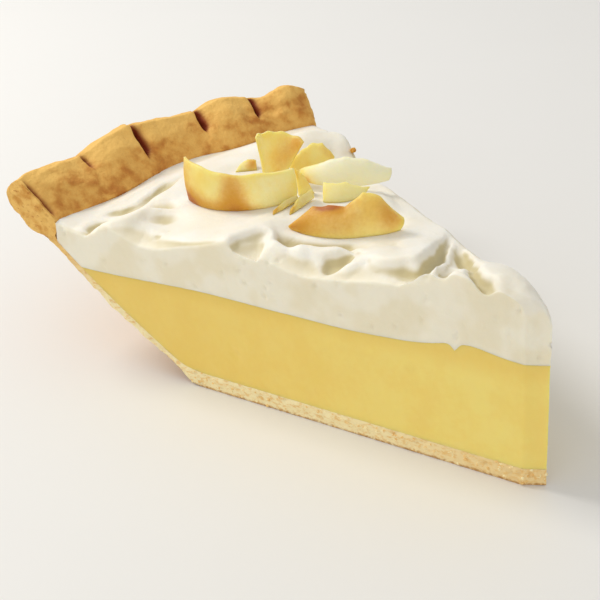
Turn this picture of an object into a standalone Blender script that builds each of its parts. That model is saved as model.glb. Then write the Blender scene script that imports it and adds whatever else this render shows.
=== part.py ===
# One slice of coconut cream pie, cut from a round pie: a baked pastry shell with a crimped rim, a layer of
# set custard, a layer of whipped cream and a small heap of toasted coconut shavings.
# Lengths are millimetres until the mesh is written. Angles go round the middle of the pie, 0 along the slice.

import math

import bmesh
import bpy
import numpy as np

MM = 0.001

# The cut: half the wedge angle, and where the blunt tip starts on each cut face, out from the pie's middle.
HALF_ANGLE = math.radians(18.68)
TIP_FRONT = 6.2
TIP_BACK = 2.9
GAP = 0.3
EDGE_INSET = 0.6
FOOTPRINT_CENTRE = (0.03, 63.0)

# Pastry shell: flat base, sloping wall, rolled and crimped rim.
BASE_RADIUS = 76.5
BASE_THICK = 3.6
BASE_STATIONS = 6
HEEL_STEP = (3.4, 1.1)
HEEL_INSIDE = (1.0, 0.3)
FLOOR_TURN = 1.5
WALL_FOOT = (83.2, 3.7)
WALL_TOP = (111.3, 26.2)
WALL_THICK = 1.6
WALL_STATIONS = (0.0, 0.45, 1.0)
SHELF = (115.0, 27.2)
SHELF_SWELL = 0.55
SHELF_LEVEL = 0.45
ROLL_CENTRE = (117.0, 33.2)
ROLL_RADIUS = 6.1
ROLL_START = math.radians(-68.0)
ROLL_END = math.radians(70.0)
ROLL_STATIONS = 9
JUNCTION = (110.8, 31.2)
SWELLS = ((math.radians(-9.5), math.radians(6.5), 2.9), (math.radians(8.0), math.radians(4.5), 2.7))
FACE_BELLY = 0.6
BELLY_SHARE = 0.7
BELLY_ROUND = 0.7
BELLY_END = 0.85
CREST = (0.6, -0.4)

# Height of the crest round the rim, by angle in degrees: the lobes swell a little and sink between. Where the
# crest stands higher, the lobe also bulges outward, upward and over its inner face.
CREST_LINE = (
    (-19.0, 38.0), (-15.7, 38.9), (-11.3, 38.3), (-9.9, 38.5), (-5.7, 40.2), (-3.8, 40.5), (-1.0, 39.6),
    (1.9, 39.0), (4.5, 38.7), (7.7, 39.9), (10.7, 39.2), (13.7, 37.5), (15.7, 39.2), (16.8, 39.1),
    (19.0, 37.4),
)
CREST_EASE = 0.55
LOBE_OUT = 0.4
LOBE_UP = 0.8
LOBE_FACE = 0.25

# Each pinch leaves a slit: its angle, how deep, how wide it gapes, how far down the face it runs, and how
# much the pastry on its left swells over it. A slit opens steeply on its left and slowly on its right, thins
# out at the foot and over the crest, and the pastry round it is pressed in.
PINCHES = (
    (math.radians(-18.3), 1.2, 0.8, 0.02, 0.35),
    (math.radians(-10.5), 1.3, 0.9, 0.55, 0.20),
    (math.radians(-3.7), 2.6, 1.5, 0.26, 0.50),
    (math.radians(4.75), 2.3, 1.3, 0.42, 0.40),
    (math.radians(11.7), 2.3, 1.3, 0.40, 0.35),
)
SLIT_LEAD = 0.2
SLIT_WALL = 0.35
SLIT_RUN = 0.22
SLIT_BACK = 0.8
SLIT_DROP = 0.55
SLIT_CREST = 0.5
SLIT_CREST_FROM = 0.88
SLIT_OUTSIDE = 0.3
SLIT_OUTSIDE_FROM = 0.6
DENT_WIDTH = math.radians(1.3)
DENT_DEPTH = 0.55
LIP_WIDTH = math.radians(0.5)
LIP_RUN = 0.3
FACE_FOOT = 0.2

# Swells and dents of the face left by the fingers: angle in degrees, share of the way up the face, how far it
# reaches each way, and height.
BUMPS = (
    (-14.6, 0.62, 2.2, 0.28, 0.5), (-7.0, 0.68, 1.8, 0.26, 0.6), (-6.0, 0.25, 2.0, 0.20, -0.3),
    (0.6, 0.60, 2.4, 0.30, 0.6), (8.2, 0.70, 1.7, 0.24, 0.7), (15.9, 0.78, 1.7, 0.22, 1.0),
    (15.8, 0.40, 1.7, 0.16, 0.6),
)

# Custard top: its height at the wall, the slopes by which it rises towards the tip (radius where a slope
# starts, run, rise), and a swell where the cream was first dropped on (radius, width, rise).
CUSTARD_RIM_Z = 21.7
CUSTARD_SLOPES = ((104.0, 34.0, 1.5), (46.0, 24.0, 1.0), (18.0, 14.0, 1.1))
CUSTARD_SWELL = (17.0, 7.0, 2.2)

# Cream top along each cut, as radius and height, with its corners eased over a short way, and how much it
# domes between them. It calms towards the rim, and its edges are rounded off at the tip and along the cuts.
CREAM_FRONT = (
    (0.0, 36.2), (4.4, 37.4), (7.9, 38.7), (11.8, 39.3), (15.7, 39.2), (19.6, 38.8), (25.4, 37.8),
    (30.9, 36.6), (36.6, 35.8), (41.0, 34.7), (50.3, 33.6), (58.0, 35.4), (66.0, 36.1), (74.0, 33.8),
    (81.0, 31.9), (85.5, 31.3), (90.6, 30.8), (98.7, 30.0), (104.0, 30.2), (112.0, 31.8),
)
CREAM_BACK = (
    (0.0, 34.6), (3.2, 35.8), (6.1, 36.9), (9.0, 38.0), (13.4, 38.2), (18.6, 37.3), (25.8, 34.5),
    (34.2, 33.9), (40.5, 34.3), (49.0, 33.2), (56.0, 32.8), (63.1, 32.4), (68.1, 32.0), (72.7, 31.2),
    (76.8, 30.6), (82.0, 31.0), (90.0, 32.4), (97.0, 33.2), (103.0, 32.5), (107.0, 31.5), (112.0, 30.6),
)
CREAM_DOME = 1.2
CREAM_EASE = 1.6
CREAM_CALM = (103.0, 109.0)
CREAM_NOSE = 2.2
CREAM_EDGE_DROP = 0.6
CREAM_EDGE_WIDTH = 1.6

# Spatula work in the cream: points along it, how far it reaches on its left and on its right (a short reach
# makes a crisp edge), and its height (hollows are negative).
STROKES = (
    (((-35.0, 95.0), (-24.0, 98.2), (-10.0, 98.3), (-2.0, 98.4)), 2.0, 1.0, -1.3),
    (((-34.0, 94.0), (-26.1, 96.2), (-17.9, 94.2), (-12.0, 89.4)), 1.0, 2.8, 1.0),
    (((-29.0, 87.0), (-24.0, 80.0), (-19.0, 70.0)), 5.0, 3.0, 0.4),
    (((-22.4, 60.8), (-19.0, 64.2), (-16.0, 65.3), (-13.0, 63.0), (-11.4, 58.6)), 0.9, 8.5, -1.9),
    (((-10.2, 62.8), (-12.4, 56.0), (-8.9, 46.6), (-7.0, 41.3)), 0.9, 1.8, 1.0),
    (((-9.1, 61.1), (-9.6, 57.6), (-5.7, 48.4), (-2.5, 44.5)), 3.0, 1.6, -1.0),
    (((-14.2, 43.6), (-11.0, 43.4), (-7.6, 40.0)), 1.0, 2.4, -1.7),
    (((-5.9, 41.3), (-8.0, 34.6), (-7.0, 30.0), (-4.0, 28.4), (1.5, 31.0), (7.0, 34.4), (9.5, 37.0)),
     5.0, 1.3, 1.0),
    (((-7.6, 31.0), (-6.6, 27.2), (-3.6, 26.0), (2.6, 29.2), (8.2, 33.2)), 1.3, 1.8, -1.0),
    (((-3.2, 22.0), (-0.8, 23.2), (4.3, 26.8)), 1.2, 1.2, -1.0),
    (((8.6, 29.4), (6.0, 25.2), (1.6, 19.4), (-1.8, 14.8), (-3.0, 12.0)), 1.2, 1.2, -1.2),
    (((3.5, 19.0), (1.5, 14.0), (-0.2, 9.5)), 1.8, 2.0, 0.5),
    (((9.0, 99.0), (20.0, 97.5), (30.0, 92.0)), 4.5, 4.5, 0.8),
    (((16.0, 95.0), (23.0, 91.0), (29.0, 87.0), (36.0, 82.5)), 4.5, 4.0, 2.4),
    (((6.0, 62.0), (12.0, 60.0), (17.0, 58.0)), 6.0, 6.0, 1.0),
    (((12.0, 54.0), (8.0, 48.0), (2.0, 46.0)), 2.0, 3.0, -0.9),
)
STROKE_STEPS = 20
STROKE_TAPER = 0.30
STROKE_END = 0.45

# The cream rises round the feet of the shavings that stand in it: how far round each, and how far below its
# lower edge the cream stays.
NESTS = {
    "shaving_ribbon": (5.0, 0.45), "shaving_fold": (2.5, 0.6), "shaving_end": (2.5, 1.25),
    "shaving_toasted": (2.2, 0.8), "shaving_scrap": (2.5, 0.8), "shaving_sliver_low": (1.6, 1.15),
    "shaving_sliver_high": (1.6, 1.1), "shaving_pale": (2.5, 1.0),
}
NEST_STEPS = 12
NEST_LEAST = 1e-6

# Coconut shavings, each a ribbon that stands or lies on its lower edge.
# foot: start of the lower edge. head: heading at start and end, degrees. length: along the lower edge.
# rise: climb from start to end. wide: width at even steps from start to end. lean: tip over from upright at
# start and end, degrees. cup: hollow across the width. slant: how far the upper edge runs ahead at start and
# end.
SHAVINGS = {
    "shaving_ribbon": dict(
        foot=(-13.7, 86.2, 34.4), head=(-106.0, 1.0), length=26.2, rise=1.3,
        wide=(9.2, 8.8, 7.7, 7.3, 6.4), lean=(2.0, 4.0), cup=0.5, slant=(0.3, 0.1)),
    "shaving_fold": dict(
        foot=(3.1, 82.8, 32.9), head=(19.0, -75.0), length=3.9, rise=0.2,
        wide=(11.6, 11.1, 10.5, 9.6), lean=(2.0, 16.0), cup=0.2, slant=(-1.2, 4.7)),
    "shaving_round": dict(
        foot=(8.1, 80.8, 33.0), head=(-34.0, -39.0), length=8.2, rise=0.4,
        wide=(3.5, 6.1, 6.9, 7.3, 3.8), lean=(25.0, 24.0), cup=0.4, slant=(0.4, 1.6)),
    "shaving_long": dict(
        foot=(6.8, 74.2, 35.3), head=(-82.0, -8.0), length=18.7, rise=-0.2,
        wide=(2.2, 4.7, 6.2, 5.2, 2.3), lean=(26.0, 25.0), cup=0.6, slant=(-1.7, 1.3)),
    "shaving_pale": dict(
        foot=(3.0, 63.5, 35.2), head=(-64.0, 13.0), length=9.0, rise=0.1,
        wide=(4.2, 4.0, 0.8), lean=(42.0, 44.0), cup=0.2, slant=(-1.0, 2.9)),
    "shaving_toasted": dict(
        foot=(-8.9, 58.7, 35.2), head=(-90.0, -13.0), length=22.4, rise=0.7,
        wide=(0.8, 5.5, 6.3, 5.8, 9.0, 6.9, 2.1), lean=(35.0, 24.0), cup=0.8, slant=(-0.6, 1.4)),
    "shaving_sliver_low": dict(
        foot=(-8.5, 65.1, 35.9), head=(7.0, 10.0), length=7.5, rise=0.5,
        wide=(0.6, 1.0, 0.6), lean=(49.0, 50.0), cup=0.1, slant=(0.9, 0.3)),
    "shaving_sliver_high": dict(
        foot=(-6.2, 62.9, 35.7), head=(10.0, 14.0), length=7.9, rise=0.7,
        wide=(0.8, 2.0, 1.3), lean=(43.0, 43.0), cup=0.1, slant=(1.4, 0.8)),
    "shaving_end": dict(
        foot=(2.0, 70.0, 34.6), head=(-16.0, -10.0), length=3.5, rise=-0.1,
        wide=(6.0, 5.0, 4.3), lean=(10.0, 25.0), cup=0.1, slant=(0.0, -1.3)),
    "shaving_scrap": dict(
        foot=(2.2, 92.1, 33.4), head=(-42.0, -35.0), length=4.7, rise=0.1,
        wide=(2.9, 3.0, 2.7), lean=(55.0, 55.0), cup=0.1, slant=(0.9, 0.0)),
}
SHAVING_THICK = 0.9

# Colours (linear) and roughness of each kind of surface.
PASTRY = ((0.52, 0.28, 0.08, 1.0), 0.72)
CUSTARD = ((0.76, 0.58, 0.15, 1.0), 0.42)
CREAM = ((0.88, 0.83, 0.70, 1.0), 0.50)
COCONUT = ((0.78, 0.58, 0.20, 1.0), 0.50)

# Grid of each solid: angles across the slice, stations out from the tip, and the least steps that are kept.
CUSTARD_GRID = (21, 31)
CREAM_GRID = (31, 50)
PINCH_STEPS = (-0.95, -0.4, -0.1, 0.08, 0.35, 0.75, 1.25, 2.2, 3.4, 4.6, 5.8)
SHAVING_STEPS = (11, 4)
SHELL_LAYERS = 3
TIP_CROWDING = 1.25
LEVEL_CLEAR = 0.5
ANGLE_CLEAR = math.radians(0.15)
SHARP_EDGE = math.radians(40.0)


def smooth(t):
    t = np.clip(t, 0.0, 1.0)
    return t * t * (3.0 - 2.0 * t)


def lerp(a, b, t):
    return a + (b - a) * t


def tip_radius(theta):
    """The blunt tip is one straight facet between the two cut faces."""
    ax, ay = TIP_FRONT * math.sin(-HALF_ANGLE), TIP_FRONT * math.cos(HALF_ANGLE)
    bx, by = TIP_BACK * math.sin(HALF_ANGLE), TIP_BACK * math.cos(HALF_ANGLE)
    nx, ny = by - ay, ax - bx
    return (nx * ax + ny * ay) / (nx * np.sin(theta) + ny * np.cos(theta))


def wall_inner(t):
    """The wall's inner face, one wall thickness in from its outer face."""
    dr, dz = WALL_TOP[0] - WALL_FOOT[0], WALL_TOP[1] - WALL_FOOT[1]
    run = math.hypot(dr, dz)
    return (
        WALL_FOOT[0] + dr * t - WALL_THICK * dz / run,
        WALL_FOOT[1] + dz * t + WALL_THICK * dr / run,
    )


def rim_swell(theta):
    """How far the baked rim slumps inward over the filling."""
    return sum(rise * np.exp(-(((theta - at) / width) ** 2)) for at, width, rise in SWELLS)


def inner_line(theta):
    """The pastry's inside from the edge of the base up to the foot of the rim, as radius and height."""
    swell = rim_swell(theta)
    plain = [
        (BASE_RADIUS - FLOOR_TURN, BASE_THICK),
        (BASE_RADIUS + HEEL_STEP[0] - HEEL_INSIDE[0], BASE_THICK + HEEL_INSIDE[1]),
    ]
    plain += [wall_inner(t) for t in WALL_STATIONS]
    line = [(r + 0.0 * theta, z) for r, z in plain]
    line.append((JUNCTION[0] - SHELF_SWELL * swell, lerp(plain[-1][1], JUNCTION[1], SHELF_LEVEL)))
    line.append((JUNCTION[0] - swell, JUNCTION[1]))
    return line


def eased(at, points, ease):
    """The line through some points, with its corners eased over a short way on both sides."""
    places, values = zip(*points)
    steps = (-ease, 0.0, ease)
    return sum(np.interp(at + step, places, values) for step in steps) / len(steps)


def slit(theta, t):
    """How far the pastry opens beside each pinch, t of the way up from the foot of the rim to its crest."""
    total = np.zeros_like(theta)
    for at, depth, width, foot, _ in PINCHES:
        down = smooth((t - foot) / SLIT_RUN)
        across = (theta - at) * ROLL_CENTRE[0] / (width * lerp(SLIT_WALL, 1.0, down))
        gape = smooth((across + SLIT_LEAD) / SLIT_WALL) * np.exp(-np.clip(across, 0.0, None) ** 2)
        crest = smooth((t - SLIT_CREST_FROM) / (1.0 - SLIT_CREST_FROM))
        total += depth * gape * down * (1.0 - SLIT_CREST * crest)
    return total


def handled(theta, t):
    """Lips, dents and finger marks on the face of the rim."""
    total = np.zeros_like(theta)
    for at, _, _, foot, lip in PINCHES:
        down = smooth((t - foot) / LIP_RUN)
        away = theta - at
        total += down * lip * np.exp(-((away / LIP_WIDTH + 1.0) ** 2))
        total -= down * DENT_DEPTH * np.exp(-((away / DENT_WIDTH) ** 2))
    for at, up, far_round, far_up, rise in BUMPS:
        away = (np.degrees(theta) - at) / far_round
        total += rise * np.exp(-(away**2) - ((t - up) / far_up) ** 2)
    return total


def shell_sections(theta):
    """Outer and inner points of the pastry, out over the base, up the wall and round the rim."""
    crest = eased(np.degrees(theta), CREST_LINE, CREST_EASE)
    lobe = crest - (ROLL_CENTRE[1] + ROLL_RADIUS + CREST[1])
    start = tip_radius(theta)
    line = inner_line(theta)
    outer, inner = [], []

    def add(o, i):
        outer.append([c + 0.0 * theta for c in o])
        inner.append([c + 0.0 * theta for c in i])

    for t in np.linspace(0.0, 1.0, BASE_STATIONS):
        add((lerp(start, BASE_RADIUS, t), 0.0), (lerp(start, line[0][0], t), BASE_THICK))
    add((BASE_RADIUS + HEEL_STEP[0], HEEL_STEP[1]), line[1])
    for t, i in zip(WALL_STATIONS, line[2:5]):
        add((lerp(WALL_FOOT[0], WALL_TOP[0], t), lerp(WALL_FOOT[1], WALL_TOP[1], t)), i)
    add(SHELF, line[5])
    for t in np.linspace(0.0, 1.0, ROLL_STATIONS):
        angle = lerp(ROLL_START, ROLL_END, t)
        reach = ROLL_RADIUS + t * LOBE_OUT * lobe
        over = smooth((t - SLIT_OUTSIDE_FROM) / (1.0 - SLIT_OUTSIDE_FROM))
        drop = SLIT_OUTSIDE * slit(theta, 1.0) * over
        o = (
            ROLL_CENTRE[0] + reach * math.cos(angle),
            ROLL_CENTRE[1] + reach * math.sin(angle) + t * LOBE_UP * lobe - drop,
        )
        press = math.sin(math.pi * min(BELLY_END, t)) ** BELLY_ROUND
        marks = smooth(t / FACE_FOOT) * handled(theta, t)
        belly = BELLY_SHARE * (press * (FACE_BELLY + LOBE_FACE * lobe) + marks)
        opening = slit(theta, t)
        i = (
            lerp(line[6][0], ROLL_CENTRE[0] + CREST[0], t) - belly + SLIT_BACK * opening,
            lerp(JUNCTION[1], crest, t) + belly - SLIT_DROP * opening,
        )
        add(o, i)
    return np.array(outer), np.array(inner)


def shell_block(theta, layers):
    outer, inner = shell_sections(theta)
    w = np.linspace(0.0, 1.0, layers)
    r = lerp(outer[:, 0, :, None], inner[:, 0, :, None], w)
    z = lerp(outer[:, 1, :, None], inner[:, 1, :, None], w)
    angle = theta[None, :, None]
    return np.stack([r * np.sin(angle), r * np.cos(angle), z], axis=-1)


def custard_top(r):
    at, width, rise = CUSTARD_SWELL
    slopes = sum(up * smooth((start - r) / run) for start, run, up in CUSTARD_SLOPES)
    return CUSTARD_RIM_Z + slopes + rise * np.exp(-(((r - at) / width) ** 2))


def beside(line, x, y):
    """How far points lie from a line, on which side of it (left is above 0), and how far along it, 0 to 1."""
    gap, side, along = np.full(x.shape, np.inf), np.zeros_like(x), np.zeros_like(x)
    for k, ((ax, ay), (bx, by)) in enumerate(zip(line[:-1], line[1:])):
        dx, dy = bx - ax, by - ay
        t = np.clip(((x - ax) * dx + (y - ay) * dy) / (dx * dx + dy * dy), 0.0, 1.0)
        away = np.hypot(x - ax - t * dx, y - ay - t * dy)
        closer = away < gap
        gap = np.where(closer, away, gap)
        side = np.where(closer, (y - ay) * dx - (x - ax) * dy, side)
        along = np.where(closer, (k + t) / (len(line) - 1.0), along)
    return gap, side, along


def rounded(points, count):
    """A line through some points, with its corners drawn as curves."""
    points = np.array(points)
    knots = np.vstack([2.0 * points[0] - points[1], points, 2.0 * points[-1] - points[-2]])
    at = np.linspace(0.0, len(points) - 1.0, count)
    k = np.clip(at.astype(int), 0, len(points) - 2)
    t = (at - k)[:, None]
    a, b, c, d = (knots[k + n] for n in range(4))
    return b + 0.5 * t * (c - a + t * (2.0 * a - 5.0 * b + 4.0 * c - d + t * (3.0 * (b - c) + d - a)))


def stroke_height(x, y):
    """All strokes added up. They thin out towards both ends."""
    total = np.zeros_like(x)
    for points, left, right, height in STROKES:
        gap, side, along = beside(rounded(points, STROKE_STEPS), x, y)
        fade = smooth(np.minimum(along, 1.0 - along) / STROKE_TAPER)
        reach = np.where(side > 0.0, left, right) * lerp(STROKE_END, 1.0, fade)
        total += height * fade * np.exp(-((gap / reach) ** 2))
    return total


def nested(x, y, z):
    """The cream's height once it has risen, or sunk, to the feet of the shavings that stand in it."""
    weight, lift = np.zeros_like(z), np.zeros_like(z)
    for name, (reach, clear) in NESTS.items():
        sizes = SHAVINGS[name]
        _, ex, ey, ez = lower_edge(sizes["foot"], sizes["head"], sizes["length"], sizes["rise"], NEST_STEPS)
        gap, _, along = beside(list(zip(ex, ey)), x, y)
        near = np.exp(-((gap / reach) ** 2))
        edge = np.interp(along, np.linspace(0.0, 1.0, NEST_STEPS), ez)
        weight += near
        lift += near**2 * (edge - clear - z)
    return z + lift / np.maximum(weight, NEST_LEAST)


def cream_top(x, y):
    """Height of the cream: the lines along the cuts, the strokes, and the soft edges at tip and cuts."""
    r = np.hypot(x, y)
    theta = np.arctan2(x, y)
    across = theta / HALF_ANGLE
    front, back = eased(r, CREAM_FRONT, CREAM_EASE), eased(r, CREAM_BACK, CREAM_EASE)
    base = lerp(front, back, smooth(0.5 + 0.5 * across))
    calm = 1.0 - smooth((r - CREAM_CALM[0]) / (CREAM_CALM[1] - CREAM_CALM[0]))
    base = base + calm * (CREAM_DOME * (1.0 - across**2) + stroke_height(x, y))
    cut = r * np.sin(HALF_ANGLE - np.abs(theta))
    z = nested(x, y, base) - CREAM_EDGE_DROP * (1.0 - smooth(cut / CREAM_EDGE_WIDTH))
    nose = np.clip(1.0 - (r - tip_radius(theta)) / CREAM_NOSE, 0.0, 1.0)
    return z - CREAM_NOSE * (1.0 - np.sqrt(1.0 - nose**2))


def filling_block(theta, rho, low, high, bottom, top):
    """A layer of filling, out from the tip to the pastry's inside between two heights, drawn in by the gap.

    Its outer edge follows the pastry at heights of its own, so that the two never cross.
    """
    line = inner_line(theta)
    heights = [z for _, z in line]
    levels = [low] + [z for z in heights if low + LEVEL_CLEAR < z < high - LEVEL_CLEAR] + [high]
    edge = np.array([
        [np.interp(z - GAP, heights, [r[j] for r, _ in line]) for j in range(len(theta))] for z in levels
    ])
    w = (np.array(levels) - low) / (high - low)
    start = tip_radius(theta)[None, :, None]
    r = lerp(start, (edge.T - EDGE_INSET)[None, :, :], rho[:, None, None])
    angle = np.broadcast_to(theta[None, :, None], r.shape)
    x, y = r * np.sin(angle), r * np.cos(angle)
    floor, roof = bottom(x[:, :, :1], y[:, :, :1]), top(x[:, :, -1:], y[:, :, -1:])
    z = lerp(floor, roof, w)
    z[-1, :, 1:-1] = levels[1:-1]
    return np.stack([x, y, z], axis=-1)


def lower_edge(foot, head, length, rise, count):
    """Heading and place of points along the edge on which a shaving stands."""
    t = np.linspace(0.0, 1.0, count)
    turn = np.radians(lerp(head[0], head[1], t))
    step = length / (count - 1)
    mid = 0.5 * (turn[1:] + turn[:-1])
    x = foot[0] + np.concatenate([[0.0], np.cumsum(step * np.cos(mid))])
    y = foot[1] + np.concatenate([[0.0], np.cumsum(step * np.sin(mid))])
    return turn, x, y, foot[2] + rise * t


def shaving_block(foot, head, length, rise, wide, lean, cup, slant):
    """A thin ribbon: a lower edge that turns as it goes, and a width that leans over from it."""
    nt, nv = SHAVING_STEPS
    t = np.linspace(0.0, 1.0, nt)
    turn, x, y, z = lower_edge(foot, head, length, rise, nt)
    along = np.stack([np.cos(turn), np.sin(turn), 0.0 * t], axis=-1)
    side = np.stack([-np.sin(turn), np.cos(turn), 0.0 * t], axis=-1)
    tip = np.radians(lerp(lean[0], lean[1], t))[:, None]
    up = np.array([0.0, 0.0, 1.0])
    across = np.cos(tip) * up + np.sin(tip) * side
    normal = np.cross(along, across)
    width = np.interp(t, np.linspace(0.0, 1.0, len(wide)), wide)
    v = np.linspace(0.0, 1.0, nv)
    ahead = lerp(slant[0], slant[1], t)
    spine = np.stack([x, y, z], axis=-1)
    sheet = (
        spine[:, None, :]
        + (width[:, None] * v)[..., None] * across[:, None, :]
        + (ahead[:, None] * v)[..., None] * along[:, None, :]
        + (cup * 4.0 * v * (1.0 - v))[None, :, None] * normal[:, None, :]
    )
    half = 0.5 * SHAVING_THICK
    return np.stack([sheet - half * normal[:, None, :], sheet + half * normal[:, None, :]], axis=2)


def add_skin(bm, block):
    """The outer skin of a block of points, as quads that share their edge points."""
    ni, nj, nk = block.shape[:3]
    verts = {}

    def vert(i, j, k):
        key = (i, j, k)
        if key not in verts:
            x, y, z = block[i, j, k]
            verts[key] = bm.verts.new(
                ((x - FOOTPRINT_CENTRE[0]) * MM, (y - FOOTPRINT_CENTRE[1]) * MM, z * MM)
            )
        return verts[key]

    def quad(a, b, c, d, flip):
        corners = [vert(*a), vert(*b), vert(*c), vert(*d)]
        bm.faces.new(corners[::-1] if flip else corners)

    for i in range(ni - 1):
        for j in range(nj - 1):
            for k, flip in ((0, False), (nk - 1, True)):
                quad((i, j, k), (i + 1, j, k), (i + 1, j + 1, k), (i, j + 1, k), flip)
    for i in range(ni - 1):
        for k in range(nk - 1):
            for j, flip in ((0, True), (nj - 1, False)):
                quad((i, j, k), (i + 1, j, k), (i + 1, j, k + 1), (i, j, k + 1), flip)
    for j in range(nj - 1):
        for k in range(nk - 1):
            for i, flip in ((0, False), (ni - 1, True)):
                quad((i, j, k), (i, j + 1, k), (i, j + 1, k + 1), (i, j, k + 1), flip)


def make_object(name, block, look):
    colour, roughness = look
    bm = bmesh.new()
    add_skin(bm, block)
    bmesh.ops.triangulate(bm, faces=bm.faces)
    bmesh.ops.recalc_face_normals(bm, faces=bm.faces)
    mesh = bpy.data.meshes.new(name)
    bm.to_mesh(mesh)
    bm.free()
    mesh.shade_smooth()
    mesh.set_sharp_from_angle(angle=SHARP_EDGE)
    material = bpy.data.materials.new(name)
    material.use_nodes = True
    surface = material.node_tree.nodes["Principled BSDF"]
    surface.inputs["Base Color"].default_value = colour
    surface.inputs["Roughness"].default_value = roughness
    surface.inputs["Metallic"].default_value = 0.0
    mesh.materials.append(material)
    obj = bpy.data.objects.new(name, mesh)
    bpy.context.scene.collection.objects.link(obj)
    return obj


def rim_angles():
    """Angles across the rim, close together where the pastry is pinched."""
    angles = [at + math.radians(step) for at, *_ in PINCHES for step in PINCH_STEPS]
    inside = sorted(a for a in angles if abs(a) < HALF_ANGLE - ANGLE_CLEAR)
    kept = [-HALF_ANGLE]
    kept += [a for a in inside if a - kept[-1] >= ANGLE_CLEAR]
    return np.array(kept + [HALF_ANGLE])


def slice_grid(grid):
    """Angles across the slice, and shares of the way out from the tip."""
    angles, stations = grid
    return np.linspace(-HALF_ANGLE, HALF_ANGLE, angles), np.linspace(0.0, 1.0, stations) ** TIP_CROWDING


def build():
    for obj in list(bpy.data.objects):
        bpy.data.objects.remove(obj, do_unlink=True)

    make_object("pie_crust", shell_block(rim_angles(), SHELL_LAYERS), PASTRY)

    floor = BASE_THICK + GAP
    make_object(
        "custard",
        filling_block(
            *slice_grid(CUSTARD_GRID), floor, CUSTARD_RIM_Z,
            lambda x, y: floor + 0.0 * x,
            lambda x, y: custard_top(np.hypot(x, y)),
        ),
        CUSTARD,
    )
    make_object(
        "whipped_cream",
        filling_block(
            *slice_grid(CREAM_GRID), CUSTARD_RIM_Z + GAP, JUNCTION[1],
            lambda x, y: custard_top(np.hypot(x, y)) + GAP,
            cream_top,
        ),
        CREAM,
    )
    for name, sizes in SHAVINGS.items():
        make_object(name, shaving_block(**sizes), COCONUT)


build()
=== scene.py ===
from math import cos, hypot, pi, radians, sin

import bmesh
import bpy
import numpy as np
from mathutils import Matrix, Vector


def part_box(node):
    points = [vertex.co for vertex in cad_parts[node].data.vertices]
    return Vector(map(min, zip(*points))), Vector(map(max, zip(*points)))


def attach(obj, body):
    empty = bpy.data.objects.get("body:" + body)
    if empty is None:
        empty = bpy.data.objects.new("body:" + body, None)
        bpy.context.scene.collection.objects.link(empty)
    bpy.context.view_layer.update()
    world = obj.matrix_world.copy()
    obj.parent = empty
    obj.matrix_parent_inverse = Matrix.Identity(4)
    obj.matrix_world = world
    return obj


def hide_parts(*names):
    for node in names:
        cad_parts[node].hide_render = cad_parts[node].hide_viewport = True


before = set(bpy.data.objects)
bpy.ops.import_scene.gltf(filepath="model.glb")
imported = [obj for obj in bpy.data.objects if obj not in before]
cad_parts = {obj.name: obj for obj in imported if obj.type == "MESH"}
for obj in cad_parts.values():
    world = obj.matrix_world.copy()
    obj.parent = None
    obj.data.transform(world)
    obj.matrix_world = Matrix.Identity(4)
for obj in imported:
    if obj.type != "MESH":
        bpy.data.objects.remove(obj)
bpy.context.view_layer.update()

# ------------------------------------------------
# Baked pastry shell.
# Shortcrust rolled thin, laid in a tin and baked: a flat base, a sloping wall and a rim that is rolled over
# and pinched by hand into lobes. The skin browns, and the two cuts show pale, flaky crumb.

# Sizes are millimetres from the middle of the pie, and angles go round it, 0 along the slice.
MM = 0.001
HALF_ANGLE = radians(18.68)
TIP_FRONT = 6.2
TIP_BACK = 2.9
FOOTPRINT_CENTRE = (0.03, TIP_BACK * cos(HALF_ANGLE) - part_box("pie_crust")[0].y / MM)

BASE_RADIUS = 76.5
BASE_THICK = 3.6
BASE_STATIONS = 6
HEEL_STEP = (3.4, 1.1)
HEEL_INSIDE = (1.0, 0.3)
FLOOR_TURN = 1.5
WALL_FOOT = (83.2, 3.7)
WALL_TOP = (111.3, 26.2)
WALL_THICK = 1.6
# The wall bows outwards as it dries in the oven: share of the way up it, and how far out it lies there.
WALL_BOW = ((0.0, 0.0), (0.22, 0.75), (0.48, 1.3), (0.74, 1.35), (1.0, 0.9))
SHELF = (115.0, 27.0)
SHELF_SWELL = 0.55
SHELF_LEVEL = 0.45
ROLL_CENTRE = (117.0, 33.2)
ROLL_RADIUS = 6.1
ROLL_START = radians(-68.0)
ROLL_END = radians(70.0)
ROLL_STATIONS = 9
JUNCTION = (110.8, 31.2)
SWELLS = ((radians(-9.5), radians(6.5), 2.9), (radians(8.0), radians(4.5), 2.7))
FACE_BELLY = 0.6
FACE_LOBE = 0.25
FACE_FOOT = 0.2
BELLY_SHARE = 0.7
BELLY_ROUND = 0.7
BELLY_END = 0.85
CREST = (0.6, -0.4)

# Height of the crest round the rim, by angle in degrees: the lobes swell a little and sink between.
CREST_LINE = (
    (-19, 38), (-17.6, 38.5), (-15.7, 38.9), (-13.3, 38.7), (-11.3, 38.3), (-9.9, 38.5), (-7.9, 39.5),
    (-5.7, 40.2), (-3.8, 40.5), (-2.4, 39.9), (-1, 39.6), (1.9, 39), (4.5, 38.7), (5.9, 39.2),
    (7.7, 39.9), (9.4, 39.7), (10.7, 39.2), (12.6, 38.2), (13.7, 37.5), (14.6, 38.4), (15.7, 39.2),
    (16.8, 39.1), (19, 37.4),
)
CREST_EASE = 0.55
CREST_SEEN = 0.2
LOBE_OUT = 0.4
LOBE_UP = 0.8
# At the front cut the rim flares out above and draws in below: how far, and where on the way up it. Both
# fade out over END_REACH round the rim.
END_FLARE = (1.1, 0.2, 0.65)
END_TUCK = (1.7, 0.22, 0.24)
END_REACH = radians(4.0)

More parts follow.
